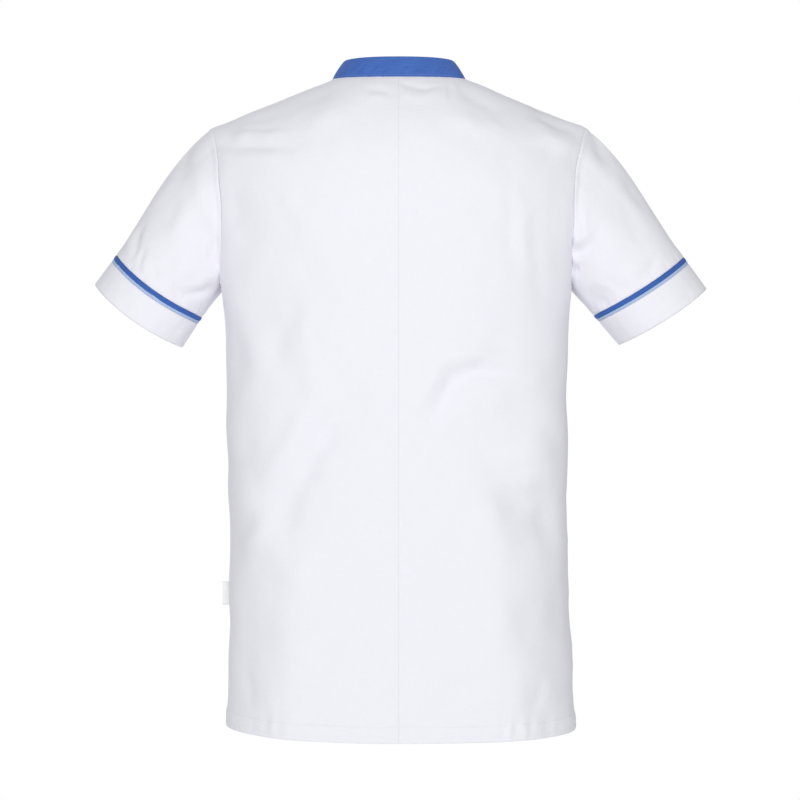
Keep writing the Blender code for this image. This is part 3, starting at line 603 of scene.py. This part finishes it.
# seams and hem: depths, widths and heights in mm
seams = {
    "groove": 0.72, "grooveWidth": 1.1,           # the valley where two pieces meet
    "allowance": 0.45, "allowanceWidth": 9.0,     # the turned-in edges lift the cloth beside it
    "allowanceRise": 2.2, "allowanceFall": (0.75, 0.4),
    "pucker": 0.26, "puckerStart": 1.0, "puckerReach": 11.0, "puckerSizes": (8.3, 12.7, 21.0),
    # seed, allowance and pucker of each seam
    "beside": {
        "side": (1.1, 0.25, 0.8), "centre": (3.7, 0.0, 0.5), "top": (5.2, 0.5, 0.7), "armhole": (6.1, 0.0, 1.5),
    },
    "sleeveHead": 1.2, "sleeveHeadRise": 0.8, "sleeveHeadFlat": 3.2, "sleeveHeadEnd": 7.6,
    "sleeveHeadDip": -0.8, "dipWidth": 3.0,
    "hemDepth": 20.0, "hemLift": 0.75, "hemStep": (0.5, 1.2), "hemRound": (0.5, 0.7),
    "hemStitches": {18.8: 0.70, 5.4: 0.30}, "stitchDent": 1.0,          # the rise and depth of each row of stitches
    "hemPucker": 0.42, "hemPuckerSizes": (7.1, 10.9, 17.3, 29.0), "hemPuckerSeeds": {"back": 2.3, "front": 4.1},
    "hemPuckerPlace": (0.6, 0.62, 2.0), "hemLean": 0.35,                # middle and reach as shares of the hem's depth
    "aboveFold": (2, 3),                                                # side puckers start above the hem's fold
    # the centre seam's turned-in edges: height, rise, flat and fall; its stitches: how far out, how deep and wide
    "centreRidge": (0.45, 1.4, 3.8, 2.2), "centreStitch": 4.2, "centreDent": (0.25, 0.9), "centreGroove": 0.6,
    "centreLean": {"left": 1.0, "right": 0.1}, "centreTop": 5, "notchStitch": 4.5,
    "armholePress": 0.55, "armholePressRise": 15,
    "creaseTop": 9, "sideAgree": 38,              # how far creases fade in below the top, and from the side seam
}
# places along the hem where the turn-up puckers most: across, width and height (mm)
hemPuckers = {
    "back": [
        (152, 6, -0.9), (144, 4.5, 0.8), (136, 5, -0.6), (128, 5, 0.6), (172, 7, -0.9), (90, 7, -0.5),
        (62, 6, -0.6), (22, 7, 0.4), (-60, 7, -0.6), (-92, 6, 0.5), (-119, 4, -1.1), (-126, 3.4, 1.1),
        (-134, 4, -1.2), (-144, 4, 0.9), (-151, 4.5, -1.2), (-172, 7, -0.9),
    ],
    "front": [
        (118, 5, -1.2), (109, 4, 1.0), (-96, 5, -1.1), (-105, 4, 0.9), (24, 6, -0.7), (170, 6, -0.9),
        (-168, 6, -0.9), (-30, 6, 0.5),
    ],
}


def seamGroove(distance):
    return -seams["groove"] * mm * bell(distance, seams["grooveWidth"] * mm)


def besideSeam(distance, along, seam):
    # the lifted allowance and small puckers next to a seam
    seed, allowance, pucker = seams["beside"][seam]
    width, (start, length) = seams["allowanceWidth"] * mm, seams["allowanceFall"]
    rising = eased(distance / (seams["allowanceRise"] * mm))
    falling = 1 - eased((distance - width * start) / (width * length))
    lift = allowance * seams["allowance"] * mm * rising * falling
    decay = bell(distance, seams["puckerReach"] * mm) * eased(distance / (seams["puckerStart"] * mm))
    return lift + pucker * seams["pucker"] * mm * ripple(along, seams["puckerSizes"], seed) * decay


def sleeveHead(distance):
    # the armhole's edges are turned into the sleeve: a flat narrow ridge that drops to a shallow dip
    flat, end = seams["sleeveHeadFlat"] * mm, seams["sleeveHeadEnd"] * mm
    ridge = eased(distance / (seams["sleeveHeadRise"] * mm)) * (1 - eased((distance - flat) / (end - flat)))
    dip = bell(distance - end, seams["dipWidth"] * mm) * eased(distance / flat)
    return (seams["sleeveHead"] * ridge + seams["sleeveHeadDip"] * dip) * mm


def hemHeight(face, grid, across, rise):
    depth = seams["hemDepth"] * mm
    before, step = seams["hemStep"]
    total = seams["hemLift"] * mm * (1 - eased((rise - depth + before * mm) / (step * mm)))
    for stitch, deep in seams["hemStitches"].items():
        total -= deep * mm * bell(rise - stitch * mm, seams["stitchDent"] * mm)
    under, roundness = seams["hemRound"]
    total -= under * mm * bell(rise, roundness * mm)                         # the folded edge rounds under
    middle, reach, start = seams["hemPuckerPlace"]
    window = bell(rise - middle * depth, reach * depth) * eased(rise / (start * mm))
    slanted = across + seams["hemLean"] * rise * np.sign(grid[..., 0])   # puckers lean along the hem
    waves = ripple(slanted, seams["hemPuckerSizes"], seams["hemPuckerSeeds"][face])
    total += seams["hemPucker"] * mm * waves * window
    for place, width, height in hemPuckers[face]:
        total += height * mm * bell(grid[..., 0] / mm - place, width) * window
    return total


def buildBody():
    grids, normals, underRow = {}, {}, 0
    for face in faceSign:
        for side in sideSign:
            grids[face, side], underRow = bodyQuarter(face, side)
            normals[face, side] = torsoNormals(face, side, grids[face, side])
    neckColumn = int(np.argmin(np.abs(columnPlaces() - clothGrid["neckColumns"])))
    notchRow = underRow + int(np.argmin(np.abs(highShares() - notchShare(highShares()))))
    seamEdges = {
        "side": np.s_[: underRow + 1, -1], "shoulder": np.s_[-1, neckColumn:],
        "centre": np.s_[:, 0], "joined": np.s_[: notchRow + 1, 0],
    }
    pairs = [(("back", "left"), ("back", "right"), "centre"), (("front", "left"), ("front", "right"), "joined")]
    pairs += [(("back", side), ("front", side), edge) for side in sideSign for edge in ("side", "shoulder")]
    for first, second, edge in pairs:
        where = seamEdges[edge]
        normals[first][where] = normals[second][where] = unit(normals[first][where] + normals[second][where])

    heights, measures = {}, {}
    for key, grid in grids.items():
        across, rise = lineDistances(grid)
        toSide, toTop = across[:, -1:] - across, rise[-1:] - rise
        measures[key] = {"across": across, "rise": rise, "toSide": toSide, "toTop": toTop}
        fine = creaseHeight(bodyCreases, key[0], grid) + drift(key[0], grid)
        fine *= eased(toTop / (seams["creaseTop"] * mm))
        heights[key] = creaseHeight(largeFolds, key[0], grid, soft=False) * largeFade(grid) + fine
    for side in sideSign:
        # back and front agree along the side seam
        back, front = heights["back", side], heights["front", side]
        middle = (back[: underRow + 1, -1:] + front[: underRow + 1, -1:]) / 2
        for face in faceSign:
            own = heights[face, side]
            near = 1 - eased(measures[face, side]["toSide"][: underRow + 1] / (seams["sideAgree"] * mm))
            own[: underRow + 1] += (middle - own[: underRow + 1, -1:]) * near
    for key, grid in grids.items():
        face, side = key
        m = measures[key]
        detail = hemHeight(face, grid, m["across"], m["rise"])
        above, step = seams["aboveFold"]
        aboveHem = eased((m["rise"] - above * mm) / (step * mm))
        detail += besideSeam(m["toSide"], m["rise"], "side") * aboveHem
        # the armhole seam is pressed flatter than the side seam below it
        press = eased((grid[..., 2] - torso["underarm"]) / (seams["armholePressRise"] * mm))
        grooves = [seamGroove(m["toSide"]) * (1 - seams["armholePress"] * press), seamGroove(m["toTop"])]
        if face == "back":
            # the centre seam's turned-in edges lie to the wearer's left and are stitched down there
            height, start, flat, fall = seams["centreRidge"]
            deep, wide = seams["centreDent"]
            lean = seams["centreLean"][side]
            ridge = lean * height * mm * eased(m["across"] / (start * mm))
            ridge = ridge * (1 - eased((m["across"] - flat * mm) / (fall * mm)))
            stitched = -deep * mm * bell(m["across"] - seams["centreStitch"] * mm, wide * mm) * lean
            belowNeck = eased(m["toTop"] / (seams["centreTop"] * mm))
            detail += (ridge + stitched) * belowNeck
            detail += besideSeam(m["across"], m["rise"], "centre") * aboveHem
            grooves.append(seams["centreGroove"] * seamGroove(m["across"]) * belowNeck)
        detail += besideSeam(m["toTop"], m["across"], "top")
        detail += np.min(grooves, axis=0)
        heights[key] = heights[key] + detail
        grids[key] = grid + normals[key] * heights[key][..., None]
    for first, second, edge in pairs:
        where = seamEdges[edge]
        grids[first][where] = grids[second][where] = (grids[first][where] + grids[second][where]) / 2
    return grids, normals, measures, {"underRow": underRow, "neckColumn": neckColumn, "notchRow": notchRow}


def gridPiece(name, panels, material):
    # panels: (points, across, up) grids that are joined where they share points
    bm = bmesh.new()
    bm.loops.layers.uv.new("clothWeave")
    mesh = bpy.data.meshes.new(name)
    allPoints, allMaps = [], []
    for points, across, up in panels:
        rows, columns = points.shape[:2]
        bmesh.ops.create_grid(bm, x_segments=columns - 1, y_segments=rows - 1, size=1)
        allPoints.append(points.reshape(-1, 3))
        allMaps.append(np.stack([across, up], axis=-1).reshape(-1, 2))
    bm.to_mesh(mesh)
    bm.free()
    points, maps = np.concatenate(allPoints), np.concatenate(allMaps)
    mesh.vertices.foreach_set("co", points.astype(np.float32).ravel())
    corners = np.zeros(len(mesh.loops), np.int32)
    mesh.loops.foreach_get("vertex_index", corners)
    mesh.uv_layers["clothWeave"].data.foreach_set("uv", maps[corners].astype(np.float32).ravel())
    bm = bmesh.new()
    bm.from_mesh(mesh)
    bmesh.ops.remove_doubles(bm, verts=bm.verts[:], dist=2e-6)
    bmesh.ops.recalc_face_normals(bm, faces=bm.faces[:])
    bm.to_mesh(mesh)
    bm.free()
    mesh.materials.append(materials[material])
    mesh.shade_smooth()
    return addObject(name, mesh)


def turnOutwards(obj, middle):
    # faces point away from the piece's middle
    mesh = obj.data
    centre = np.array([p.center for p in mesh.polygons])
    normal = np.array([p.normal for p in mesh.polygons])
    if ((centre - middle) * normal).sum() < 0:
        mesh.flip_normals()


def addWall(obj, thickness, single=1.0, doubled=None):
    # the cloth's own thickness, inwards; where it is turned up, below the height doubled, it is thicker
    wall = obj.modifiers.new("clothThickness", "SOLIDIFY")
    wall.thickness = thickness * mm
    wall.offset = -1
    wall.use_even_offset = True
    wall.use_rim = True
    if doubled is not None:
        group = obj.vertex_groups.new(name="doubled")
        turnedUp = [vert.index for vert in obj.data.vertices if vert.co.z < doubled]
        group.add(turnedUp, 1.0, "REPLACE")
        wall.vertex_group = "doubled"
        wall.thickness_vertex_group = single
    return obj


grids, normals, measures, marks = buildBody()
print("body formed:", {k: g.shape[:2] for k, g in grids.items()})

panels = {key: (grids[key], measures[key]["across"] * sideSign[key[1]], measures[key]["rise"]) for key in grids}
pieces = {}
for side in sideSign:
    pieces[f"back_{side}"] = gridPiece(f"cloth_back_{side}", [panels["back", side]], "bleachedPolycotton")
pieces["front"] = gridPiece("cloth_front", [panels["front", side] for side in sideSign], "bleachedPolycotton")
for name, obj in pieces.items():
    turnOutwards(obj, np.array((0.0, 0.0, -0.40)))
    turnUp = torso["hemCentre"]["back"] + clothGrid["doubledUpTo"]
    addWall(obj, clothGrid["thickness"], clothGrid["singleShare"], turnUp)

# the sleeve's end: strips and cuff band (metres; their edges and creases in mm)
cuffs = {
    "halfDepth": 0.060, "forward": 0.004, "darkStrip": 0.0053, "lightStrip": 0.0030, "gap": 0.0003,
    "band": {"left": 0.0345, "right": 0.0375},
    # middle across and up, half height, widening, tilt, lean (degrees), bow of the back
    "left": (0.3127, -0.2820, 0.0645, 0.033, 36.2, 34.8, 0.0065),
    "right": (0.3165, -0.2832, 0.0623, -0.037, 33.0, 38.0, 0.0035),
    "edgeWidth": 0.8, "underarm": 0.7, "creaseTop": 5,
}
# the set-in sleeves above it: ways that they leave the armhole, places of the rows and how folds and creases fade as
# shares of the length, and how the head's ridge fades towards the underarm and the cloth gathers above the strips
sleeves = {
    "leavingTop": (0.80, 0.0, -0.60), "leavingUnder": (0.50, 0.0, -0.87), "thickness": 1.4,
    "length": 130, "rows": (0.035, 0.965), "folds": (0.25, 0.15), "creases": (0.05, 0.04),
    "headFoot": {"left": -0.238, "right": -0.198}, "headFade": 22, "headLeast": 0.3,
    "gather": 0.62, "gatherReach": 13, "gatherEnd": 1.5, "gatherSizes": (7.9, 11.3, 19.0),
    "stripGroove": 0.9, "underarm": 0.8, "underarmStart": 2, "joinFade": 0.3,
}


def sleeveAxis(side):
    lean = math.radians(cuffs[side][5])
    return np.array((sideSign[side] * math.sin(lean), 0.0, -math.cos(lean)))


def sleeveRing(side, along, turn, proud=0.0):
    x, z, halfHeight, flare, tilt, lean, bow = cuffs[side]
    axis, tilt = sleeveAxis(side), math.radians(tilt)
    upright = np.array((sideSign[side] * math.cos(tilt), 0.0, math.sin(tilt)))
    middle = np.array((sideSign[side] * x, -cuffs["forward"], z)) + axis * along
    up = np.outer(np.cos(turn), upright * (halfHeight + flare * along + proud))
    out = np.outer(np.sin(turn), (0.0, cuffs["halfDepth"] + proud, 0.0))
    return middle + up + out + np.outer(np.sin(turn) ** 2, axis * bow)


def tubeNormals(grid):
    roundIt = np.concatenate([grid[:, -2:-1], grid, grid[:, 1:2]], axis=1)
    outward = roundIt - grid[:, :-1].mean(axis=1, keepdims=True)
    found = unit(np.cross(np.gradient(roundIt, axis=0), np.gradient(roundIt, axis=1)))
    flip = np.sign((found * outward).sum(-1, keepdims=True))
    return (found * np.where(flip == 0, 1, flip))[:, 1:-1]


def armholeRing(back, front):
    # up the back's edge of the armhole from the underarm, over the shoulder and down the front's
    rows = np.s_[marks["underRow"] :, -1]
    return np.concatenate([back[rows][::-1], front[rows][1:]])


def underarmSeam(around, column):
    # the seam under the arm, at this column of the tube
    return sleeves["underarm"] * seamGroove(np.abs(around - around[:, [column]]))


def buildSleeve(side):
    start = armholeRing(grids["back", side], grids["front", side])
    shares = highShares()
    turn = math.pi * np.concatenate([1 - shares[::-1], 1 + shares[1:]])
    strips = cuffs["darkStrip"] + cuffs["lightStrip"] + 3 * cuffs["gap"]
    end = sleeveRing(side, -strips - min(cuffs["band"].values()), turn)
    down = ((1 - np.cos(turn)) / 2)[:, None]
    outwards = np.array((sideSign[side], 1, 1))
    top, under = np.array(sleeves["leavingTop"]) * outwards, np.array(sleeves["leavingUnder"]) * outwards
    leaving = unit(top * (1 - down) + under * down)
    reach = np.linalg.norm(end - start, axis=1, keepdims=True)
    close = np.array((0.0, *clothGrid["besideSeam"])) / sleeves["length"]
    even = np.linspace(*sleeves["rows"], clothGrid["sleeveRows"])
    t = np.unique(np.concatenate([close, even, 1 - close]))[:, None, None]
    grid = smoothRun(t, start, reach * leaving, end, reach * sleeveAxis(side))
    # a deeper cuff band takes up the lower half of the sleeve only
    grid = grid + (sleeveRing(side, -strips - cuffs["band"][side], turn) - end) * eased(2 * t - 1)
    found = tubeNormals(grid)
    large, fine = 0, 0
    for face in faceSign:
        facing = np.clip(found[..., 1] * faceSign[face], 0, 1)
        large = large + creaseHeight(sleeveFolds, face, grid, soft=False) * facing
        fine = fine + (creaseHeight(sleeveCreases, face, grid) + drift(face, grid)) * eased(2 * facing)
    window, fineWindow = [
        (eased(t / first) * eased((1 - t) / last))[..., 0] for first, last in (sleeves["folds"], sleeves["creases"])
    ]
    around, down = lineDistances(grid)
    toEnd = down[-1:] - down
    # the sleeve head stands up beside the armhole seam, and the cloth gathers a little above the strips
    least = sleeves["headLeast"]
    head = least + (1 - least) * np.sin(turn) ** 2
    headShare = eased((grid[..., 2] - sleeves["headFoot"][side]) / (sleeves["headFade"] * mm))
    detail = sleeveHead(down) * head * headShare + besideSeam(down, around, "armhole")
    gather = sleeves["gather"] * mm * ripple(around, sleeves["gatherSizes"], 7.7)
    gather = gather * bell(toEnd, sleeves["gatherReach"] * mm) * eased(toEnd / (sleeves["gatherEnd"] * mm))
    underarm = underarmSeam(around, len(shares) - 1) * eased(down / (sleeves["underarmStart"] * mm))
    detail += gather + seamGroove(toEnd) * sleeves["stripGroove"] + underarm
    detail *= eased(down / (sleeves["joinFade"] * mm))
    grid = grid + found * (large * window + fine * fineWindow + detail)[..., None]
    grid[:, -1] = grid[:, 0]
    return grid, around, down, turn


def buildRing(side, turn, top, width, proud, rows, edgeDrop, waves, creases=None):
    # a folded strip or cuff band, its edges rounding in a little
    grid = np.array([sleeveRing(side, width * k - top, turn, proud) for k in np.linspace(0, 1, rows)])
    found = tubeNormals(grid)
    around, down = lineDistances(grid)
    edge = np.minimum(down, down[-1:] - down)
    detail = -edgeDrop * mm * bell(edge, cuffs["edgeWidth"] * mm)
    detail = detail + underarmSeam(around, np.argmin(np.abs(turn - math.pi))) * cuffs["underarm"]
    for face in creases or ():
        facing = np.clip(found[..., 1] * faceSign[face], 0, 1)
        crease = creaseHeight(creases, face, grid) * eased(2 * facing)
        detail = detail + crease * eased(down / (cuffs["creaseTop"] * mm))
    height, sizes, seed = waves
    grid = grid + found * (detail + height * mm * ripple(around, sizes, seed))[..., None]
    grid[:, -1] = grid[:, 0]
    return grid, around, down


cuffCreases = {
    "back": [
        (7, -0.9, (330, -262), (318, -285)), (9, 0.7, (296, -282), (283, -300)),
        (6, -0.7, (262, -292), (272, -306)), (5, 0.6, (254, -296), (262, -312)),
        (7, -0.9, (-338, -250), (-345, -268)), (9, 0.6, (-300, -276), (-310, -290)),
        (6, -0.8, (-254, -294), (-264, -310)),
    ],
    "front": [
        (8, -0.9, (292, -276), (300, -296)), (8, -0.8, (-290, -280), (-298, -298)),
        (7, 0.6, (320, -264), (330, -276)),
    ],
}

# the rings in their order down the sleeve: how proud they stand (m), rows, how far their edges round in (mm),
# thickness (mm), cloth, and the height, sizes (mm) and seed of their ripples
stripRipple = 0.10, (11.0, 17.0, 31.0), 0.6
rings = {
    "trim_dark": (0.0005, 9, 0.40, 1.1, "darkBlueStripCotton", stripRipple),
    "trim_light": (0.0003, 7, 0.35, 1.1, "lightBlueStripCotton", stripRipple),
    "cuff_band": (0.0, 20, 0.50, 2.2, "bleachedPolycotton", (0.18, (14.0, 23.0, 41.0), 1.9)),
}


def addTube(name, side, grid, around, down, cloth, thickness):
    tube = gridPiece(f"cloth_{name}_{side}", [(grid, around * sideSign[side], -down)], cloth)
    turnOutwards(tube, grid.reshape(-1, 3).mean(axis=0))
    pieces[f"{name}_{side}"] = addWall(tube, thickness)


for side in sideSign:
    *sleeve, turn = buildSleeve(side)
    addTube("sleeve", side, *sleeve, "bleachedPolycotton", sleeves["thickness"])
    widths = {"trim_dark": cuffs["darkStrip"], "trim_light": cuffs["lightStrip"], "cuff_band": cuffs["band"][side]}
    top = sum(widths.values()) + 2 * cuffs["gap"]
    for name, (proud, rows, edgeDrop, thickness, cloth, waves) in rings.items():
        creases = cuffCreases if name == "cuff_band" else None
        tube = buildRing(side, turn, top, widths[name], proud, rows, edgeDrop, waves, creases)
        addTube(name, side, *tube, cloth, thickness)
        top -= widths[name] + cuffs["gap"]
print("sleeves and cuffs formed")

# stand collar: metres for its form, degrees for its lean, mm for its finer shape
collar = {
    "height": 0.0275, "bow": 0.0012, "lean": 32.0, "leanBack": -10.0, "leanFront": 20.0, "middle": (0.0, -0.004, 0.0),
    "cornerDrop": 0.38, "cornerReach": 2.0, "cornerRound": 2.6, "smoothing": 6, "thickness": 2.2,
    "footRows": (0, 0.02, 0.05, 0.09), "rows": (0.14, 0.90, 10), "headRows": (0.94, 0.965, 0.985, 1.0),
    "edge": (0.45, 0.7), "stitchUp": 2.6, "stitchDent": (0.32, 0.8),
    "ripple": 0.16, "rippleSizes": (17.0, 29.0, 53.0), "rippleStart": 6,
}


def neckEdge(values):
    # round the neck, from the notch's one side over the back to its other
    neck = np.s_[-1, : marks["neckColumn"] + 1]
    return np.concatenate([
        values["front", "left"][neck][:-1], values["back", "left"][neck][::-1],
        values["back", "right"][neck][1:], values["front", "right"][neck][:-1][::-1],
    ])


def buildCollar():
    foot = neckEdge(grids)
    places = columnPlaces()[: marks["neckColumn"] + 1]
    fromEnd = np.concatenate([places[:-1], np.full(2 * len(places) - 1, places[-1]), places[:-1][::-1]])
    inward = unit((np.array(collar["middle"]) - foot) * (1, 1, 0))
    for _ in range(collar["smoothing"]):
        inward[1:-1] = unit(inward[:-2] + 2 * inward[1:-1] + inward[2:])
    backShare = np.clip(foot[:, 1] / foot[:, 1].max(), -1, 1)
    turned = np.where(backShare > 0, collar["leanBack"], -collar["leanFront"])
    lean = np.radians(collar["lean"] + turned * backShare**2)
    rise = inward * np.sin(lean)[:, None] + np.outer(np.cos(lean), (0, 0, 1))
    nearEnd = np.clip(1 - fromEnd / collar["cornerReach"], 0, 1)
    corner = 1 - collar["cornerDrop"] * nearEnd ** collar["cornerRound"]
    share = np.concatenate([collar["footRows"], np.linspace(*collar["rows"]), collar["headRows"]])[:, None, None]
    bow = collar["bow"] * 4 * share * (1 - share)
    grid = foot + rise * collar["height"] * corner[:, None] * share - inward * bow
    around, up = lineDistances(grid)
    (edge, edgeWidth), (dent, dentWidth) = collar["edge"], collar["stitchDent"]
    detail = -edge * mm * bell(up[-1:] - up, edgeWidth * mm)
    detail -= dent * mm * bell(up - collar["stitchUp"] * mm, dentWidth * mm)
    waves = collar["ripple"] * mm * ripple(around, collar["rippleSizes"], 0.9)
    detail += waves * eased(up / (collar["rippleStart"] * mm))
    return grid - inward * detail[..., None], around, up, inward


collarGrid, collarAround, collarUp, collarInward = buildCollar()
pieces["collar"] = gridPiece("cloth_collar", [(collarGrid, collarAround, collarUp)], "blueDyedPolycotton")
turnOutwards(pieces["collar"], np.array((0.0, -0.01, -0.01)))
addWall(pieces["collar"], collar["thickness"])
print("collar formed")

# side label: a folded tape caught in the left side seam, left blank (metres)
label = {
    "top": -0.6005, "height": 0.028, "reach": 0.0085, "thickness": 0.0011, "tape": 0.00035, "outOfSeam": 0.0004,
    "rows": 15, "bendSteps": 7, "columns": 22, "curl": 0.0007, "curlFrom": 0.15,
}


def buildLabel():
    # a strip bent back on itself: the loop's outline is extruded up the seam
    seam = grids["back", "left"][: marks["underRow"] + 1, -1]
    heights = np.linspace(label["top"] - label["height"], label["top"], label["rows"])
    root = (np.interp(heights, seam[:, 2], seam[:, 0]) + label["outOfSeam"]).max()
    half = label["thickness"] / 2
    bend = np.linspace(-math.pi / 2, math.pi / 2, label["bendSteps"])
    loop = [(label["reach"] - half + half * math.cos(a), half * math.sin(a)) for a in bend]
    outline = alongLine(np.array([(0.0, -half), *loop, (0.0, half)]), np.linspace(0, 1, label["columns"]))
    rows = []
    for share, height in zip(np.arange(len(heights)) / (len(heights) - 1), heights):
        curl = label["curl"] * math.sin(math.pi * (share - label["curlFrom"])) * (outline[:, 0] / label["reach"]) ** 2
        rows.append(np.stack([root + outline[:, 0], outline[:, 1] + curl, np.full(len(outline), height)], axis=1))
    return np.array(rows)


labelGrid = buildLabel()
labelAround, labelUp = lineDistances(labelGrid)
pieces["side_label"] = gridPiece("side_label_tape", [(labelGrid, labelAround, labelUp)], "wovenLabelTape")
turnOutwards(pieces["side_label"], labelGrid.reshape(-1, 3).mean(axis=0))
addWall(pieces["side_label"], label["tape"] / mm)

# sewing: each stitch is a short rounded thread lying in its own small dent (mm, and shares of its thickness)
sewing = {"pitch": 3.0, "length": 2.3, "thickness": 0.42, "sunk": 0.10, "flattened": 0.8, "lift": 0.4}


def stitchRow(path, outs):
    # places, directions and outward ways of the stitches along a line on the cloth
    along = lengthAlong(path)
    count = max(1, int(along[-1] / (sewing["pitch"] * mm)))
    at = (np.arange(count) + 0.5) * along[-1] / count
    ahead, behind = pick(path, along, at + 0.5 * mm), pick(path, along, at - 0.5 * mm)
    return zip(pick(path, along, at), unit(ahead - behind), unit(pick(outs, along, at)))


def addStitches(name, rows, material):
    # one small rounded thread, repeated along every row
    pattern = bmesh.new()
    bmesh.ops.create_uvsphere(pattern, u_segments=6, v_segments=5, radius=0.5)
    thick = sewing["thickness"]
    size = (thick * mm, thick * sewing["flattened"] * mm, sewing["length"] * mm)
    bmesh.ops.scale(pattern, vec=size, verts=pattern.verts)
    patternMesh = bpy.data.meshes.new("stitchPattern")
    pattern.to_mesh(patternMesh)
    pattern.free()
    bm = bmesh.new()
    for path, outs in rows:
        for spot, ahead, out in stitchRow(path, outs):
            ahead, out = Vector(ahead), Vector(out)
            across = out.cross(ahead).normalized()
            out = ahead.cross(across).normalized()
            turn = Matrix((across, out, ahead)).transposed().to_4x4()
            turn.translation = Vector(spot) + out * (thick * sewing["lift"] - sewing["sunk"]) * mm
            first = len(bm.verts)
            bm.from_mesh(patternMesh)
            bm.verts.ensure_lookup_table()
            bmesh.ops.transform(bm, matrix=turn, verts=bm.verts[first:])
    mesh = bpy.data.meshes.new(name)
    bm.to_mesh(mesh)
    bm.free()
    bpy.data.meshes.remove(patternMesh)
    mesh.materials.append(materials[material])
    mesh.shade_smooth()
    return addObject(name, mesh)


def gridLine(values, distances, target):
    # a line across a grid, where the distance (mm) along each column is the target
    return np.array([pick(values[:, k], distances[:, k], target * mm) for k in range(values.shape[1])])


def sewnLine(grid, outs, distances, target, upwards=False):
    # the line's places and its outward ways; upwards, the distance is measured along the rows
    if upwards:
        grid, outs, distances = grid.swapaxes(0, 1), outs.swapaxes(0, 1), distances.T
    return gridLine(grid, distances, target), gridLine(outs, distances, target)


hemRows, notchRows = [], []
for (face, side), grid in grids.items():
    out, m = normals[face, side], measures[face, side]
    hemRows += [sewnLine(grid, out, m["rise"], rise) for rise in seams["hemStitches"]]
    if face == "front":
        up = np.s_[marks["notchRow"] :]
        notchRows.append(sewnLine(grid[up], out[up], m["across"][up], seams["notchStitch"], upwards=True))
left = "back", "left"
centreRow = sewnLine(grids[left], normals[left], measures[left]["across"], seams["centreStitch"], upwards=True)
collarOut = np.broadcast_to(-collarInward, collarGrid.shape)
collarRow = sewnLine(collarGrid, collarOut, collarUp, collar["stitchUp"])
# the centre row ends clear of hem and neck, and the collar's clear of its front ends
sewn = {
    "stitches_hem": (hemRows, "whiteSewingThread"),
    "stitches_centre_back": ([[line[3:-4] for line in centreRow]], "whiteSewingThread"),
    "stitches_front_notch": (notchRows, "whiteSewingThread"),
    "stitches_collar": ([[line[2:-2] for line in collarRow]], "blueSewingThread"),
}
stitchObjects = {name: addStitches(name, *row) for name, row in sewn.items()}
print("stitches sewn:", sum(len(o.data.polygons) for o in stitchObjects.values()), "faces")

# each piece rides on the frame and stands for its node
for name, obj in pieces.items():
    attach(obj, "root")
    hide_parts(name)
for name, obj in stitchObjects.items():
    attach(obj, "root")

# studio: a pale floor, white surroundings and two soft lights
studio = {
    "floorHeight": -1.45, "floorReach": 3.1, "floorColour": "#FAFAFA", "floorRoughness": 0.9,
    "surround": ((1, 1, 1, 1), 1.0), "ambient": ((0.97, 0.98, 1, 1), 0.47),       # as seen, and as it lights
    "aim": (0, 0, -0.38),
    # name, place, size, watts
    "lights": [("softBehind", (0.0, 3.4, 0.60), 2.2, 59), ("softFront", (0.9, -3.3, 0.2), 3.0, 56)],
}


def buildStudio():
    bm = bmesh.new()
    bmesh.ops.create_circle(bm, cap_ends=True, segments=96, radius=studio["floorReach"])
    bmesh.ops.translate(bm, vec=(0, 0, studio["floorHeight"]), verts=bm.verts)
    mesh = bpy.data.meshes.new("studioFloor")
    bm.to_mesh(mesh)
    bm.free()
    floor = addObject("studioFloor", mesh)
    paint, _, shader = newMaterial("mattFloorPaint", studio["floorRoughness"])
    shader.inputs["Base Color"].default_value = linear(studio["floorColour"])
    mesh.materials.append(paint)
    world = bpy.data.worlds.new("whiteSurround")
    bpy.context.scene.world = world
    world.use_nodes = True
    tree = world.node_tree
    tree.nodes.clear()
    seen, lit = [
        addNode(tree, "Background", {"Color": colour, "Strength": strength})
        for colour, strength in (studio["surround"], studio["ambient"])
    ]
    path = addNode(tree, "LightPath")
    both = addNode(tree, "MixShader", {}, {0: path.outputs["Is Camera Ray"], 1: lit.outputs[0], 2: seen.outputs[0]})
    addNode(tree, "OutputWorld", {}, {"Surface": both.outputs[0]})
    for name, place, size, watts in studio["lights"]:
        data = bpy.data.lights.new(name, "AREA")
        data.shape = "SQUARE"
        data.size = size
        data.energy = watts
        light = addObject(name, data)
        light.location = place
        aim = Vector(studio["aim"]) - Vector(place)
        light.rotation_euler = aim.to_track_quat("-Z", "Y").to_euler()
        light.visible_camera = False
    view = bpy.context.scene.view_settings
    view.view_transform = "Standard"
    view.look = "None"


buildStudio()
print("studio lit")

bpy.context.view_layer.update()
faces = [face for obj in (*pieces.values(), *stitchObjects.values()) for face in obj.data.polygons]
print("triangles before the walls:", sum(len(face.vertices) - 2 for face in faces))
